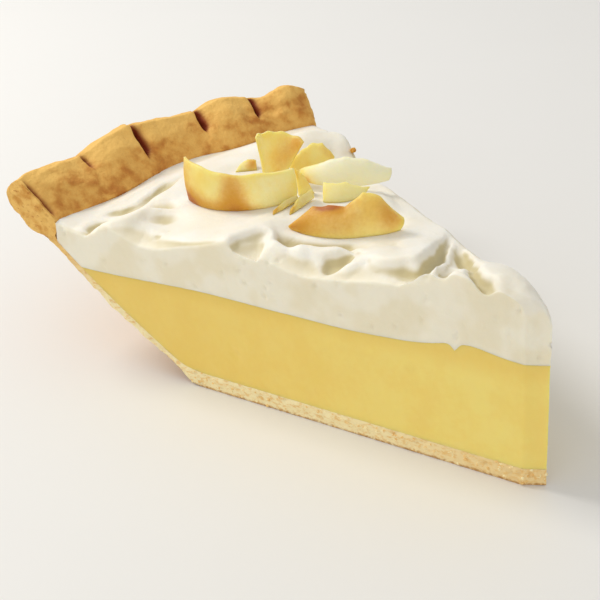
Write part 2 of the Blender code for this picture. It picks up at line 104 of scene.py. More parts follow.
# Each pinch leaves a slit: where it is, how deep, how wide it gapes, how far down the face it runs, and how
# much the pastry on its left swells over it.
PINCHES = (
    (radians(-18.3), 1.2, 0.8, 0.02, 0.35),
    (radians(-10.5), 1.3, 0.8, 0.55, 0.20),
    (radians(-3.7), 3.0, 1.5, 0.26, 0.50),
    (radians(4.75), 2.6, 1.3, 0.42, 0.40),
    (radians(11.7), 2.6, 1.3, 0.40, 0.35),
)
PINCH_FADE = 0.3
DENT_WIDTH = radians(1.3)
DENT_DEPTH = 0.55
LIP_WIDTH = radians(0.5)
# A slit opens over a short way up from its narrow foot, gapes at once on its left, closes a little at the
# crest, and draws the face out and down. Inside it shade is painted: the pastry there is coloured dark.
SLIT_OPENS = 0.22
SLIT_NARROW = 0.35
SLIT_LEFT = (-0.2, 0.15)
SLIT_CREST = (0.88, 1.0)
SLIT_CLOSES = 0.5
SLIT_OUT = 0.8
SLIT_DOWN = 0.55
SLIT_BACK = 0.3
SLIT_BACK_UP = (0.6, 1.0)
SLIT_SHADE_FULL = 1.1
SLIT_SHADE_INSIDE = (0.2, 0.8)

# Swells and dents of the face left by the fingers: angle, share of the way up, how far each way, and height.
BUMPS = (
    (-14.6, 0.62, 2.2, 0.28, 0.5), (-12.2, 0.30, 1.6, 0.20, 0.3), (-7.0, 0.68, 1.8, 0.26, 0.6),
    (-6.0, 0.25, 2.0, 0.20, -0.3), (0.6, 0.60, 2.4, 0.30, 0.6), (3.2, 0.30, 1.4, 0.18, -0.3),
    (8.2, 0.70, 1.7, 0.24, 0.7), (9.4, 0.34, 1.6, 0.20, 0.4), (15.9, 0.78, 1.7, 0.22, 1.0),
    (14.6, 0.40, 0.9, 0.16, 0.7), (17.0, 0.42, 0.9, 0.16, 0.7), (15.8, 0.56, 1.9, 0.06, -0.7),
)

CRUST_PITCH = 0.85
CRUST_ANGLES = 150
CRUST_LAYERS = 15
CROWD = 2.5
CROWD_REACH = radians(0.9)
CROWD_STEPS = 4000
# Relief fades out this close to where layers meet, and the rim is bare from about its foot up.
MEETING = 0.8
RIM_BARE = (-0.1, 0.05)


def ramp(x, low, high):
    """0 below low, 1 above high, and a soft step from one to the other."""
    t = np.clip((x - low) / (high - low), 0.0, 1.0)
    return t * t * (3.0 - 2.0 * t)


def bell(*ways):
    """1 in the middle, and falling off with the distance along each of the ways."""
    return np.exp(-sum(way**2 for way in ways))


def lerp(a, b, t):
    return a + (b - a) * t


def even(count):
    """Numbers from 0 to 1 at even steps."""
    return np.linspace(0.0, 1.0, count)


def tip_radius(theta):
    """The blunt tip is one straight facet between the two cut faces."""
    ax, ay = TIP_FRONT * sin(-HALF_ANGLE), TIP_FRONT * cos(HALF_ANGLE)
    bx, by = TIP_BACK * sin(HALF_ANGLE), TIP_BACK * cos(HALF_ANGLE)
    nx, ny = by - ay, ax - bx
    return (nx * ax + ny * ay) / (nx * np.sin(theta) + ny * np.cos(theta))


def wall_point(t, out):
    """A point t of the way up the line from the wall's foot to its top, and so far out from that line."""
    dr, dz = WALL_TOP[0] - WALL_FOOT[0], WALL_TOP[1] - WALL_FOOT[1]
    run = hypot(dr, dz)
    return WALL_FOOT[0] + dr * t + out * dz / run, WALL_FOOT[1] + dz * t - out * dr / run


def inner_line(theta):
    """The pastry's inside from the edge of the base up to the foot of the rim, as radius and height."""
    swell = sum(rise * bell((theta - at) / width) for at, width, rise in SWELLS)
    plain = [
        (BASE_RADIUS - FLOOR_TURN, BASE_THICK),
        (BASE_RADIUS + HEEL_STEP[0] - HEEL_INSIDE[0], BASE_THICK + HEEL_INSIDE[1]),
        *(wall_point(t, bow - WALL_THICK) for t, bow in WALL_BOW),
    ]
    return [(r + 0.0 * theta, z) for r, z in plain] + [
        (JUNCTION[0] - SHELF_SWELL * swell, lerp(plain[-1][1], JUNCTION[1], SHELF_LEVEL)),
        (JUNCTION[0] - swell, JUNCTION[1]),
    ]


def eased(at, points, ease):
    """The line through some points, with its corners eased over a short way on both sides."""
    places, values = zip(*points)
    return sum(np.interp(at + s, places, values) for s in (-ease, 0.0, ease)) / 3.0


def slit(theta, t):
    """How far the pastry opens beside each pinch, t of the way up from the foot of the rim to its crest."""
    total = np.zeros_like(theta)
    for at, depth, width, foot, _ in PINCHES:
        down = ramp(t - foot, 0.0, SLIT_OPENS)
        across = (theta - at) * ROLL_CENTRE[0] / (width * lerp(SLIT_NARROW, 1.0, down))
        gape = ramp(across, *SLIT_LEFT) * bell(np.clip(across, 0.0, None))
        total += depth * gape * down * (1.0 - SLIT_CLOSES * ramp(t, *SLIT_CREST))
    return total


def handled(theta, t):
    """Lips, dents and finger marks on the face of the rim."""
    total = np.zeros_like(theta)
    for at, _, _, foot, lip in PINCHES:
        down = ramp(t - foot, 0.0, PINCH_FADE)
        total += down * lip * bell((theta - at) / LIP_WIDTH + 1.0)
        total -= down * DENT_DEPTH * bell((theta - at) / DENT_WIDTH)
    for at, up, far_round, far_up, rise in BUMPS:
        total += rise * bell((np.degrees(theta) - at) / far_round, (t - up) / far_up)
    return total


def crust_sections(theta):
    """Outer and inner points of the pastry, out over the base, up the wall and round the rim."""
    crest = eased(np.degrees(theta), CREST_LINE, CREST_EASE) - CREST_SEEN
    lobe = crest - (ROLL_CENTRE[1] + ROLL_RADIUS + CREST[1])
    start, line = tip_radius(theta), inner_line(theta)
    near_end = bell((theta + HALF_ANGLE) / END_REACH)
    flare, *flare_up = END_FLARE
    tuck, tuck_up, tuck_height = END_TUCK
    outer, inner = [], []

    def add(o, i):
        outer.append([c + 0.0 * theta for c in o])
        inner.append([c + 0.0 * theta for c in i])

    for t in even(BASE_STATIONS):
        add((lerp(start, BASE_RADIUS, t), 0.0), (lerp(start, line[0][0], t), BASE_THICK))
    add((BASE_RADIUS + HEEL_STEP[0], HEEL_STEP[1]), line[1])
    for (t, bow), i in zip(WALL_BOW, line[2:]):
        add(wall_point(t, bow), i)
    add(SHELF, line[-2])
    for t in even(ROLL_STATIONS):
        angle = lerp(ROLL_START, ROLL_END, t)
        drawn = flare * ramp(t, *flare_up) - tuck * bell((t - tuck_up) / tuck_height)
        reach = ROLL_RADIUS + t * LOBE_OUT * lobe + drawn * near_end
        press = sin(pi * min(BELLY_END, t)) ** BELLY_ROUND
        fingers = ramp(t, 0.0, FACE_FOOT) * handled(theta, t)
        belly = BELLY_SHARE * (press * (FACE_BELLY + FACE_LOBE * lobe) + fingers)
        crease = SLIT_BACK * slit(theta, 1.0) * ramp(t, *SLIT_BACK_UP)
        add(
            (ROLL_CENTRE[0] + reach * cos(angle),
             ROLL_CENTRE[1] + reach * sin(angle) + t * LOBE_UP * lobe - crease),
            (lerp(line[-1][0], ROLL_CENTRE[0] + CREST[0], t) - belly + SLIT_OUT * slit(theta, t),
             lerp(JUNCTION[1], crest, t) + belly - SLIT_DOWN * slit(theta, t)),
        )
    return np.array(outer), np.array(inner)


def spline_rows(at, count):
    """Catmull-Rom weights for points between the stations of a section, at places counted in stations."""
    base = np.clip(np.floor(at).astype(int), 0, count - 2)
    t = (at - base)[:, None]
    mix = np.hstack([
        -0.5 * t + t**2 - 0.5 * t**3,
        1.0 - 2.5 * t**2 + 1.5 * t**3,
        0.5 * t + 2.0 * t**2 - 1.5 * t**3,
        -0.5 * t**2 + 0.5 * t**3,
    ])
    rows = np.zeros((len(at), count))
    for k in range(4):
        np.add.at(rows, (np.arange(len(at)), np.clip(base - 1 + k, 0, count - 1)), mix[:, k])
    return rows


def crust_angles():
    """Angles from cut to cut that crowd together near the pinches."""
    fine = np.linspace(-HALF_ANGLE, HALF_ANGLE, CROWD_STEPS)
    total = np.cumsum(1.0 + CROWD * sum(bell((fine - pinch[0]) / CROWD_REACH) for pinch in PINCHES))
    return np.interp(np.linspace(total[0], total[-1], CRUST_ANGLES), total, fine)


def knife_cut(shape):
    """A mark on the faces that the knife cut: both sides and the tip."""
    cut = np.zeros(shape)
    cut[:, (0, -1)] = cut[0] = 1.0
    return cut


def set_down(name, data):
    """A new object of that mesh, lamp or camera, in the scene."""
    made = bpy.data.objects.new(name, data)
    bpy.context.scene.collection.objects.link(made)
    return made


def skin_object(name, block, marks):
    """The outer skin of a block of points as one closed mesh. marks are numbers kept at its vertices."""
    outside = np.ones(block.shape[:3], bool)
    outside[1:-1, 1:-1, 1:-1] = False
    ids = np.cumsum(outside).reshape(outside.shape) - 1

    def side(grid, flip):
        quads = np.stack([grid[:-1, :-1], grid[1:, :-1], grid[1:, 1:], grid[:-1, 1:]], axis=-1).reshape(-1, 4)
        return quads[:, ::-1] if flip else quads

    quads = np.concatenate([
        side(ids[:, :, 0], False), side(ids[:, :, -1], True),
        side(ids[:, 0], True), side(ids[:, -1], False),
        side(ids[0], False), side(ids[-1], True),
    ])
    points = (block[outside] - (*FOOTPRINT_CENTRE, 0.0)) * MM
    a, b, c, d = (points[quads[:, k]] for k in range(4))
    volume = np.einsum("ij,ij->", a, np.cross(b, c)) + np.einsum("ij,ij->", a, np.cross(c, d))
    if volume < 0.0:
        quads = quads[:, ::-1]
    mesh = bpy.data.meshes.new(name)
    mesh.from_pydata(points.tolist(), [], quads.tolist())
    for key, values in marks.items():
        layer = mesh.attributes.new(key, "FLOAT", "POINT")
        layer.data.foreach_set("value", np.broadcast_to(values, outside.shape)[outside].astype(np.float32))
    return set_down(name, mesh)


def pair(operation):
    """An operator and its reflected form, such as mask - 1 and 1 - mask."""
    return (lambda a, b: a.math(operation, a, b)), (lambda a, b: a.math(operation, b, a))


class Number:
    """A socket that carries a number. Arithmetic on it adds the nodes that work it out."""

    __add__, __radd__ = pair("ADD")
    __sub__, __rsub__ = pair("SUBTRACT")
    __mul__, __rmul__ = pair("MULTIPLY")
    __truediv__, __rtruediv__ = pair("DIVIDE")

    def __init__(self, board, socket):
        self.board, self.socket = board, socket

    def math(self, operation, *values):
        return self.board.node("ShaderNodeMath", dict(enumerate(values)), operation=operation)

    def less(self, other):
        return self.math("LESS_THAN", self, other)

    def sine(self):
        return self.math("SINE", self)

    def cosine(self):
        return self.math("COSINE", self)

    def between(self, low, high):
        """0 below low, 1 above high, and a soft step from one to the other."""
        inputs = {0: self, 1: low, 2: high}
        return self.board.node("ShaderNodeMapRange", inputs, interpolation_type="SMOOTHSTEP")

    def output(self, name):
        """Another output of the same node."""
        return Number(self.board, self.socket.node.outputs[name])


class Board:
    """A node tree, of a finish or of geometry, and the one way in which nodes are put in it."""

    def __init__(self, tree):
        self.tree = tree

    def node(self, kind, inputs=(), output=0, **settings):
        """Adds a node: its settings first, and then the values or links of its sockets."""
        made = self.tree.nodes.new(kind)
        for key, value in settings.items():
            setattr(made, key, value)
        for key, value in dict(inputs).items():
            if isinstance(value, Number):
                self.tree.links.new(value.socket, made.inputs[key])
            else:
                made.inputs[key].default_value = value
        return Number(self, made.outputs[output])

    def vector(self, operation, first, second):
        return self.node("ShaderNodeVectorMath", {0: first, 1: second}, operation=operation)

    def part(self, axis):
        """One coordinate of the place, in millimetres."""
        return self.node("ShaderNodeSeparateXYZ", {0: self.where}, axis) / MM

    def noise(self, size, detail=2.0, rough=0.5, where=None, output=0):
        """Cloudy noise from 0 to 1, with lumps of about that size in millimetres."""
        return self.node("ShaderNodeTexNoise", {
            "Vector": where or self.where, "Scale": 1.0 / MM / size, "Detail": detail, "Roughness": rough,
        }, output)


class Finish(Board):
    """A surface's material: colour, roughness and relief over its own coordinates."""

    def __init__(self, name, gloss, soft=()):
        """soft: how much light sinks in, how far each colour of it goes, and the distance in metres."""
        self.material = bpy.data.materials.new(name)
        self.material.use_nodes = True
        super().__init__(self.material.node_tree)
        self.surface = self.tree.nodes["Principled BSDF"]
        labels = ("Specular IOR Level", "Subsurface Weight", "Subsurface Radius", "Subsurface Scale")
        for label, value in zip(labels, (gloss, *soft)):
            self.surface.inputs[label].default_value = value
        self.where = self.node("ShaderNodeTexCoord", output="Object")

    def mark(self, name):
        return self.node("ShaderNodeAttribute", output="Fac", attribute_name=name)

    def mix(self, amount, first, second):
        return self.node("ShaderNodeMix", {0: amount, 6: first, 7: second}, 2, data_type="RGBA")

    def finish(self, colour, roughness, height, depth):
        """Feeds the surface. height is a relief from 0 to 1, and depth its full size in millimetres."""
        bump = self.node("ShaderNodeBump", {"Height": height, "Distance": depth * MM, "Strength": 1.0})
        for key, value in (("Base Color", colour), ("Roughness", roughness), ("Normal", bump)):
            self.tree.links.new(value.socket, self.surface.inputs[key])
        return self.material


class Shape(Board):
    """A tree of geometry nodes with named inputs: sizes, whole numbers and vectors."""

    def __init__(self, name, sizes, counts, vectors=()):
        super().__init__(bpy.data.node_groups.new(name, "GeometryNodeTree"))
        rows = {"Geometry": ("Geometry",), "Float": sizes, "Int": counts, "Vector": vectors}
        for kind, labels in rows.items():
            for label in labels:
                self.tree.interface.new_socket(label, in_out="INPUT", socket_type="NodeSocket" + kind)
        self.tree.interface.new_socket("Geometry", in_out="OUTPUT", socket_type="NodeSocketGeometry")
        self.size = self.node("NodeGroupInput").output
        self.where = self.node("GeometryNodeInputPosition")

    def mark(self, name):
        return self.node("GeometryNodeInputNamedAttribute", {"Name": name}, data_type="FLOAT")

    def dressed(self, geometry, material):
        """Ends the tree: real faces with that material on them."""
        whole = self.node("GeometryNodeRealizeInstances", {0: geometry})
        dressed = self.node("GeometryNodeSetMaterial", {"Geometry": whole, "Material": material})
        self.tree.links.new(dressed.socket, self.tree.nodes.new("NodeGroupOutput").inputs[0])
        return self.tree


def shade(*screen):
    """A colour by its screen values, 0 to 255 for red, green and blue, as light."""
    shares = (value / 255.0 for value in screen)
    return (*(c / 12.92 if c <= 0.04045 else ((c + 0.055) / 1.055) ** 2.4 for c in shares), 1.0)


# The sizes of a relief are in millimetres, and the share is how many of its cells are pits. It keeps off the
# table, the pits have soft edges, and edges that bend more than CRISP_BEND, in radians, stay crisp.
RELIEF = (
    "Swell size", "Swell height", "Grain size", "Grain height", "Cut grain size", "Cut grain height",
    "Pit size", "Pit depth", "Pit share",
)
FOOT_PLAIN = (0.2, 1.4)
PIT_EDGE = (0.12, 0.42)
RELIEF_ROUGH = 0.55
SEED_SHIFT = (0.37, 0.11)
CRISP_BEND = 1.0


def relief_tree(material):
    """Geometry nodes that round a skin's edges and raise its relief, more of it on a cut than elsewhere."""
    shape = Shape("relief", RELIEF, ("Rounding", "Seed"))
    size, free, cut = shape.size, shape.mark("free"), shape.mark("cut")
    soft = shape.node("GeometryNodeBlurAttribute", {
        "Value": shape.where, "Iterations": size("Rounding"), "Weight": free,
    }, data_type="FLOAT_VECTOR")
    rounded = shape.node("GeometryNodeSetPosition", {"Geometry": size("Geometry"), "Position": soft})
    shift = shape.node("ShaderNodeCombineXYZ", {k: size("Seed") * SEED_SHIFT[k] for k in (0, 1)})
    where = shape.vector("ADD", shape.where, shift)

    def waves(label, detail):
        noise = shape.noise(size(label + " size"), detail, RELIEF_ROUGH, where)
        return (noise - 0.5) * 2.0 * size(label + " height")

    bubble = shape.node("ShaderNodeTexVoronoi", {"Vector": where, "Scale": 1.0 / MM / size("Pit size")})
    picked = shape.node("FunctionNodeSeparateColor", {0: bubble.output("Color")}).less(size("Pit share"))
    pit = (1.0 - bubble.between(*PIT_EDGE)) * picked * cut * size("Pit depth")
    height = shape.part(2).between(*FOOT_PLAIN) * free * (
        waves("Swell", 1.0) + waves("Grain", 3.0) + waves("Cut grain", 3.0) * cut - pit
    )
    offset = shape.vector("MULTIPLY", shape.node("GeometryNodeInputNormal"), height * MM)
    raised = shape.node("GeometryNodeSetPosition", {"Geometry": rounded, "Offset": offset})
    shaded = shape.node("GeometryNodeSetShadeSmooth", {"Geometry": raised})
    level = shape.node("GeometryNodeInputMeshEdgeAngle").less(CRISP_BEND)
    flat = {"Geometry": shaded, "Shade Smooth": level}
    creased = shape.node("GeometryNodeSetShadeSmooth", flat, domain="EDGE")
    return shape.dressed(creased, material)


def worked(piece, tree, sizes):
    """Runs a tree of geometry nodes on a piece and keeps the result as its plain mesh."""
    modifier = piece.modifiers.new(tree.name, "NODES")
    modifier.node_group = tree
    sockets = {s.name: s.identifier for s in tree.interface.items_tree if s.in_out == "INPUT"}
    for label, value in sizes.items():
        modifier[sockets[label]] = value
    depsgraph = bpy.context.evaluated_depsgraph_get()
    mesh = bpy.data.meshes.new_from_object(piece.evaluated_get(depsgraph), depsgraph=depsgraph)
    piece.modifiers.remove(modifier)
    piece.data = mesh
    return piece


def in_relief(piece, material, seed, sizes):
    return worked(piece, relief_tree(material), {"Rounding": 1, "Seed": seed, **dict(zip(RELIEF, sizes))})


PASTRY_GOLD = shade(242, 194, 106)
PASTRY_TAN = shade(212, 150, 66)
PASTRY_BROWN = shade(180, 108, 44)
PASTRY_SLIT_SHADE = shade(132, 50, 18)
PASTRY_CRUMB = shade(255, 239, 188)
PASTRY_CRUMB_TAN = shade(243, 203, 132)
PASTRY_SCORCH = shade(184, 126, 60)
# Where the pastry's colour changes with height, and, the last, along the slice towards the tip. The first is
# a
# painted highlight: the crest is kept paler.
CREST_HIGHLIGHT = (36.0, 39.5)
RIM_BROWNS = (14.0, 29.0)
UNDER_BROWNS = (0.1, 1.2)
TIP_BROWNS = (-62.0, -20.0)
PASTRY_RELIEF = (4.6, 0.55, 1.7, 0.20, 1.1, 0.30, 1.6, 0.6, 0.35)


def pastry_finish():
    """Golden to brown skin with small blisters; pale crumb where it is cut, browner at rim and underside."""
    pastry = Finish("baked_pastry", 0.3)
    height, cut = pastry.part(2), pastry.mark("cut")
    cloud, mottle, speck = pastry.noise(7.0, 3.0), pastry.noise(3.0, 3.0, 0.55), pastry.noise(0.8)
    # Painted highlight: less browning near the crest, as if it catches the lamp.
    crest = height.between(*CREST_HIGHLIGHT)
    browned = (cloud * 0.9 + mottle * 1.1 - crest * 0.5 - 0.55).between(0.0, 0.8)
    skin = pastry.mix(browned, PASTRY_GOLD, PASTRY_TAN)
    skin = pastry.mix((mottle + cloud * 0.6 - crest * 0.2).between(0.74, 1.1) * 0.7, skin, PASTRY_BROWN)
    skin = pastry.mix(speck.between(0.6, 0.8) * 0.15, skin, PASTRY_BROWN)
    # Painted shade: the slits are coloured dark where they gape.
    skin = pastry.mix(pastry.mark("slit"), skin, PASTRY_SLIT_SHADE)
    flakes = pastry.noise(1.5, 4.0, 0.65, pastry.vector("MULTIPLY", pastry.where, (1.0, 1.0, 2.2)))
    crumb = pastry.mix(flakes.between(0.46, 0.68), PASTRY_CRUMB, PASTRY_CRUMB_TAN)
    rim_crumb = pastry.mix(mottle.between(0.42, 0.7), PASTRY_GOLD, PASTRY_TAN)
    rim_crumb = pastry.mix(flakes.between(0.56, 0.7) * 0.8, rim_crumb, PASTRY_BROWN)
    tipward = 1.0 - pastry.part(1).between(*TIP_BROWNS)
    crumb = pastry.mix(tipward * 0.6, crumb, PASTRY_CRUMB_TAN)
    crumb = pastry.mix(height.between(*RIM_BROWNS), crumb, rim_crumb)
    under = 1.0 - height.between(*UNDER_BROWNS)
    crumb = pastry.mix((under * (speck + 0.1)).between(0.3, 0.7) * 0.8, crumb, PASTRY_SCORCH)
    relief = mottle * 0.6 + speck * 0.3 + flakes * 0.25 * cut
    return pastry.finish(pastry.mix(cut, skin, crumb), 0.6 + mottle * 0.22, relief, 0.6)


def crust_block():
    """The pastry as layers of points from its outside in; marks: cut, painted shade in slits, and bare."""
    theta = crust_angles()
    outer, inner = crust_sections(theta)
    spans = np.hypot(*np.diff(0.5 * (outer + inner)[:, :, CRUST_ANGLES // 2], axis=0).T)
    steps = np.maximum(3, np.ceil(spans / CRUST_PITCH).astype(int))
    at = np.concatenate([i + np.arange(n) / n for i, n in enumerate(steps)] + [[len(spans)]])
    rows = spline_rows(at, len(outer))
    outer, inner = (np.einsum("ab,bcd->acd", rows, side) for side in (outer, inner))
    outer[:, 1] = np.maximum(outer[:, 1], 0.0)
    w = even(CRUST_LAYERS)
    r, z = (lerp(outer[:, k, :, None], inner[:, k, :, None], w) for k in (0, 1))
    angle = theta[:, None]
    up = (at - (len(spans) - ROLL_STATIONS + 1)) / (ROLL_STATIONS - 1)
    opening = np.array([slit(theta, np.clip(u, 0.0, 1.0)) * (u > 0.0) for u in up])
    # Painted shade inside the slits: darkest where they gape widest and towards the inner skin.
    dark = ramp(opening, 0.0, SLIT_SHADE_FULL)[:, :, None] * ramp(w, *SLIT_SHADE_INSIDE)
    depth = (1.0 - w) * np.hypot(r[..., :1] - r[..., -1:], z[..., :1] - z[..., -1:])
    free = np.maximum(ramp(depth, 0.0, MEETING), ramp(up, *RIM_BARE)[:, None, None])
    cut = knife_cut(r.shape)
    block = np.stack([r * np.sin(angle), r * np.cos(angle), z], axis=-1)
    return block, {"cut": cut, "slit": dark * (1.0 - cut), "free": free}


crust = in_relief(skin_object("baked_crust", *crust_block()), pastry_finish(), 3, PASTRY_RELIEF)
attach(crust, "root")
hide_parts("pie_crust")

# ------------------------------------------------
# Pastry crumbs.
# The knife broke the short, flaky base where it cut it, and small crumbs of it still cling to the cut.

CRUMB_DENSITY = 4.0e5
CRUMB_SMALL = (0.15, 0.15, 0.12)
CRUMB_LARGE = (0.45, 0.40, 0.30)
CRUMB_GRAIN = 5.0 / 6.0
CRUMB_BROKEN = 0.5 * MM
# The crumbs lie on cut faces only, clear of the table, and get fewer towards the top of the base.
CRUMB_ON_CUT = (0.8, 1.0)
CRUMB_CLEAR = (0.3, 0.6)
CRUMB_FEWER = 3.0
CRUMB_TOASTED = shade(222, 170, 96)


def crumb_tree(material):
    """Geometry nodes that scatter lumps over the low, cut faces of a piece, and keep only the lumps."""
    shape = Shape("crumbs", ("Density", "Top height"), ("Seed",), ("Small", "Large"))
    size, height = shape.size, shape.part(2)
    fewer = 1.0 - height.between(CRUMB_FEWER, size("Top height"))
    chosen = shape.mark("cut").between(*CRUMB_ON_CUT) * height.between(*CRUMB_CLEAR) * fewer
    spread = shape.node("GeometryNodeDistributePointsOnFaces", {
        "Mesh": size("Geometry"), "Density": size("Density") * chosen, "Seed": size("Seed"),
    })
    lump = shape.node("GeometryNodeMeshIcoSphere", {"Radius": MM, "Subdivisions": 2})
    small, large = size("Small"), size("Large")
    scale = shape.node("FunctionNodeRandomValue", {0: small, 1: large}, data_type="FLOAT_VECTOR")
    placed = shape.node("GeometryNodeInstanceOnPoints", {
        "Points": spread, "Instance": lump, "Rotation": spread.output("Rotation"), "Scale": scale,
    })
    whole = shape.node("GeometryNodeRealizeInstances", {0: placed})
    rough = shape.vector("SUBTRACT", shape.noise(CRUMB_GRAIN, output="Color"), (0.5, 0.5, 0.5))
    broken = shape.node("GeometryNodeSetPosition", {
        "Geometry": whole, "Offset": shape.vector("MULTIPLY", rough, (CRUMB_BROKEN,) * 3),
    })
    return shape.dressed(broken, material)


def crumb_finish():
    look = Finish("pastry_crumb", 0.25)
    tone, fine = look.noise(1.4), look.noise(0.3)
    colour = look.mix(tone.between(0.42, 0.60), PASTRY_CRUMB, PASTRY_CRUMB_TAN)
    colour = look.mix(tone.between(0.60, 0.75) * 0.6, colour, CRUMB_TOASTED)
    return look.finish(colour, 0.7 + fine * 0.2, fine, 0.1)


crumbs = worked(set_down("pastry_crumbs", crust.data.copy()), crumb_tree(crumb_finish()), {
    "Density": CRUMB_DENSITY, "Top height": BASE_THICK, "Small": CRUMB_SMALL, "Large": CRUMB_LARGE, "Seed": 4,
})
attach(crumbs, "root")

# ------------------------------------------------
# Custard.
# A set egg custard, poured into the baked shell and chilled until it cuts clean: smooth and moist, with a
# few small bubbles left in it, and a little see-through at its thin edges.

CUSTARD_RIM_Z = 21.7
CUSTARD_SLOPES = ((104.0, 34.0, 1.5), (46.0, 24.0, 1.0), (18.0, 14.0, 1.1))
CUSTARD_SWELL = (17.0, 7.0, 2.2)
NOTCH = (19.2, 0.8, 1.5, 4.0)
NOTCH_BLUNT = 1.6
# Each filling sinks by BED into what it lies on. In the pastry's inner corner the custard reaches further:
# at what height, over how much of it, and how far.
BED = 0.05
HEEL_FILL = (4.1, 0.9, 0.65)
CUSTARD_STATIONS = 210
CUSTARD_ANGLES = 34
CUSTARD_LEVELS = 46
TIP_CROWD = 1.08


def custard_top(x, y):
    """The custard's top, with a small notch at the front cut where cream was dragged down into it."""
    r = np.hypot(x, y)
    at, width, rise = CUSTARD_SWELL
    slopes = sum(up * ramp(start - r, 0.0, run) for start, run, up in CUSTARD_SLOPES)
    notch_at, notch_width, notch_depth, notch_reach = NOTCH
    from_cut = r * np.sin(np.clip(HALF_ANGLE + np.arctan2(x, y), 0.0, None))
    along = np.abs((r - notch_at) / notch_width) ** NOTCH_BLUNT
    notch = notch_depth * np.exp(-along - (from_cut / notch_reach) ** 2)
    return CUSTARD_RIM_Z + slopes + rise * bell((r - at) / width) - notch


def filling_block(angles, stations, levels, low, high, bottom, top, covered):
    """A layer of filling, from the tip out to the pastry. covered tells that another layer lies on it."""
    theta = np.linspace(-HALF_ANGLE, HALF_ANGLE, angles)
    radii, heights = zip(*inner_line(theta))
    w = even(levels)
    level_z = lerp(low, high, w)
    heel_z, heel_height, heel_out = HEEL_FILL
    edge = np.array([np.interp(level_z, heights, line) for line in np.transpose(radii)])
    edge = edge + heel_out * bell((level_z - heel_z) / heel_height) + BED
    r = lerp(tip_radius(theta)[:, None], edge, even(stations)[:, None, None] ** TIP_CROWD)
    x, y = r * np.sin(theta)[:, None], r * np.cos(theta)[:, None]
    floor, roof = bottom(x[..., :1], y[..., :1]), top(x[..., -1:], y[..., -1:])
    z = lerp(floor, roof, w)
    inside = np.minimum(z - floor, r[-1:] - r)
    if covered:
        inside = np.minimum(inside, roof - z)
    marks = {"cut": knife_cut(r.shape), "free": ramp(inside, 0.0, MEETING)}
    return np.stack([x, y, z], axis=-1), marks


CUSTARD_LIGHT = shade(253, 227, 130)
CUSTARD_YELLOW = shade(250, 220, 120)
CUSTARD_DEEP = shade(232, 196, 92)
# It is a little deeper in colour just below the cream and towards the rim.
TOP_DEEPENS = (19.5, 24.5)
RIM_DEEPENS = (-60.0, 40.0)
CUSTARD_RELIEF = (14.0, 0.12, 3.0, 0.02, 1.2, 0.03, 4.5, 0.25, 0.12)


def custard_finish():
    look = Finish("set_custard", 0.35, (0.6, (1.0, 0.85, 0.5), 0.0010))
    cloud, fine = look.noise(9.0), look.noise(1.3, 3.0, 0.6)
    colour = look.mix((cloud * 0.7 + fine * 0.3).between(0.35, 0.65), CUSTARD_LIGHT, CUSTARD_YELLOW)
    top, rimward = look.part(2).between(*TOP_DEEPENS), look.part(1).between(*RIM_DEEPENS)
    colour = look.mix((top + rimward * 1.4) * 0.4, colour, CUSTARD_DEEP)
    return look.finish(colour, 0.34 + fine * 0.2, fine, 0.08)


custard = in_relief(skin_object("custard_filling", *filling_block(
    CUSTARD_ANGLES, CUSTARD_STATIONS, CUSTARD_LEVELS, BASE_THICK - BED, CUSTARD_RIM_Z,
    lambda x, y: BASE_THICK - BED + 0.0 * x, custard_top, True,
)), custard_finish(), 5, CUSTARD_RELIEF)
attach(custard, "root")
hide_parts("custard")

# ------------------------------------------------
# Whipped cream.
# Stiff cream spread over the set custard with a spatula, which left swirls, ridges and hollows. The knife
# dragged it smooth on the cuts, apart from the air bubbles that it opened.

CREAM_FRONT = (
    (0, 36.2), (4.4, 37.4), (7.9, 38.7), (11.8, 39.3), (15.7, 39.2), (19.6, 38.8), (25.4, 37.8),
    (30.9, 36.6), (36.6, 35.8), (41, 34.7), (50.3, 33.6), (58, 35.6), (66, 36.5), (74, 33.8),
    (81, 32), (85.5, 31.2), (88.5, 31.6), (91.5, 32.8), (94.5, 33.3), (98, 32.2), (101, 30.8),
    (104, 30), (108, 30.4), (112, 31.8),
)
CREAM_BACK = (
    (0, 34.6), (3.2, 35.8), (6.1, 36.9), (9, 38), (13.4, 38.2), (18.6, 37.3), (25.8, 34.5),
    (34.2, 33.9), (40.5, 34.3), (49, 33.2), (56, 32.8), (63.1, 32.4), (68.1, 32), (72.7, 31.2),
    (76.8, 30.6), (82, 31), (90, 32.4), (97, 33.2), (103, 32.5), (107, 31.5), (112, 30.8),
)
CREAM_DOME = 1.2
CREAM_BLEND = 1.6
CREAM_CALM = (103.0, 109.0)
CREAM_NOSE = 2.4
# How far the cream has sunk at its edges, and over how wide a strip, by distance from the middle of the pie.
CREAM_FRONT_EDGE = (
    (0, 0.5, 1), (26, 0.5, 1), (32, 1.5, 3), (46, 1.5, 3.2), (54, 1.7, 4),
    (62, 1.5, 5.5), (66.5, 0.5, 1.1), (78, 0.6, 1.3), (84, 1.2, 3.2), (89, 2, 5),
    (94, 1.4, 3.5), (99, 0.5, 1.3), (112, 0.5, 1.1),
)
CREAM_BACK_EDGE = ((0, 0.5, 1), (112, 0.5, 1))
CREAM_ANGLES = 118
CREAM_LEVELS = 22
CREAM_STATIONS = 290

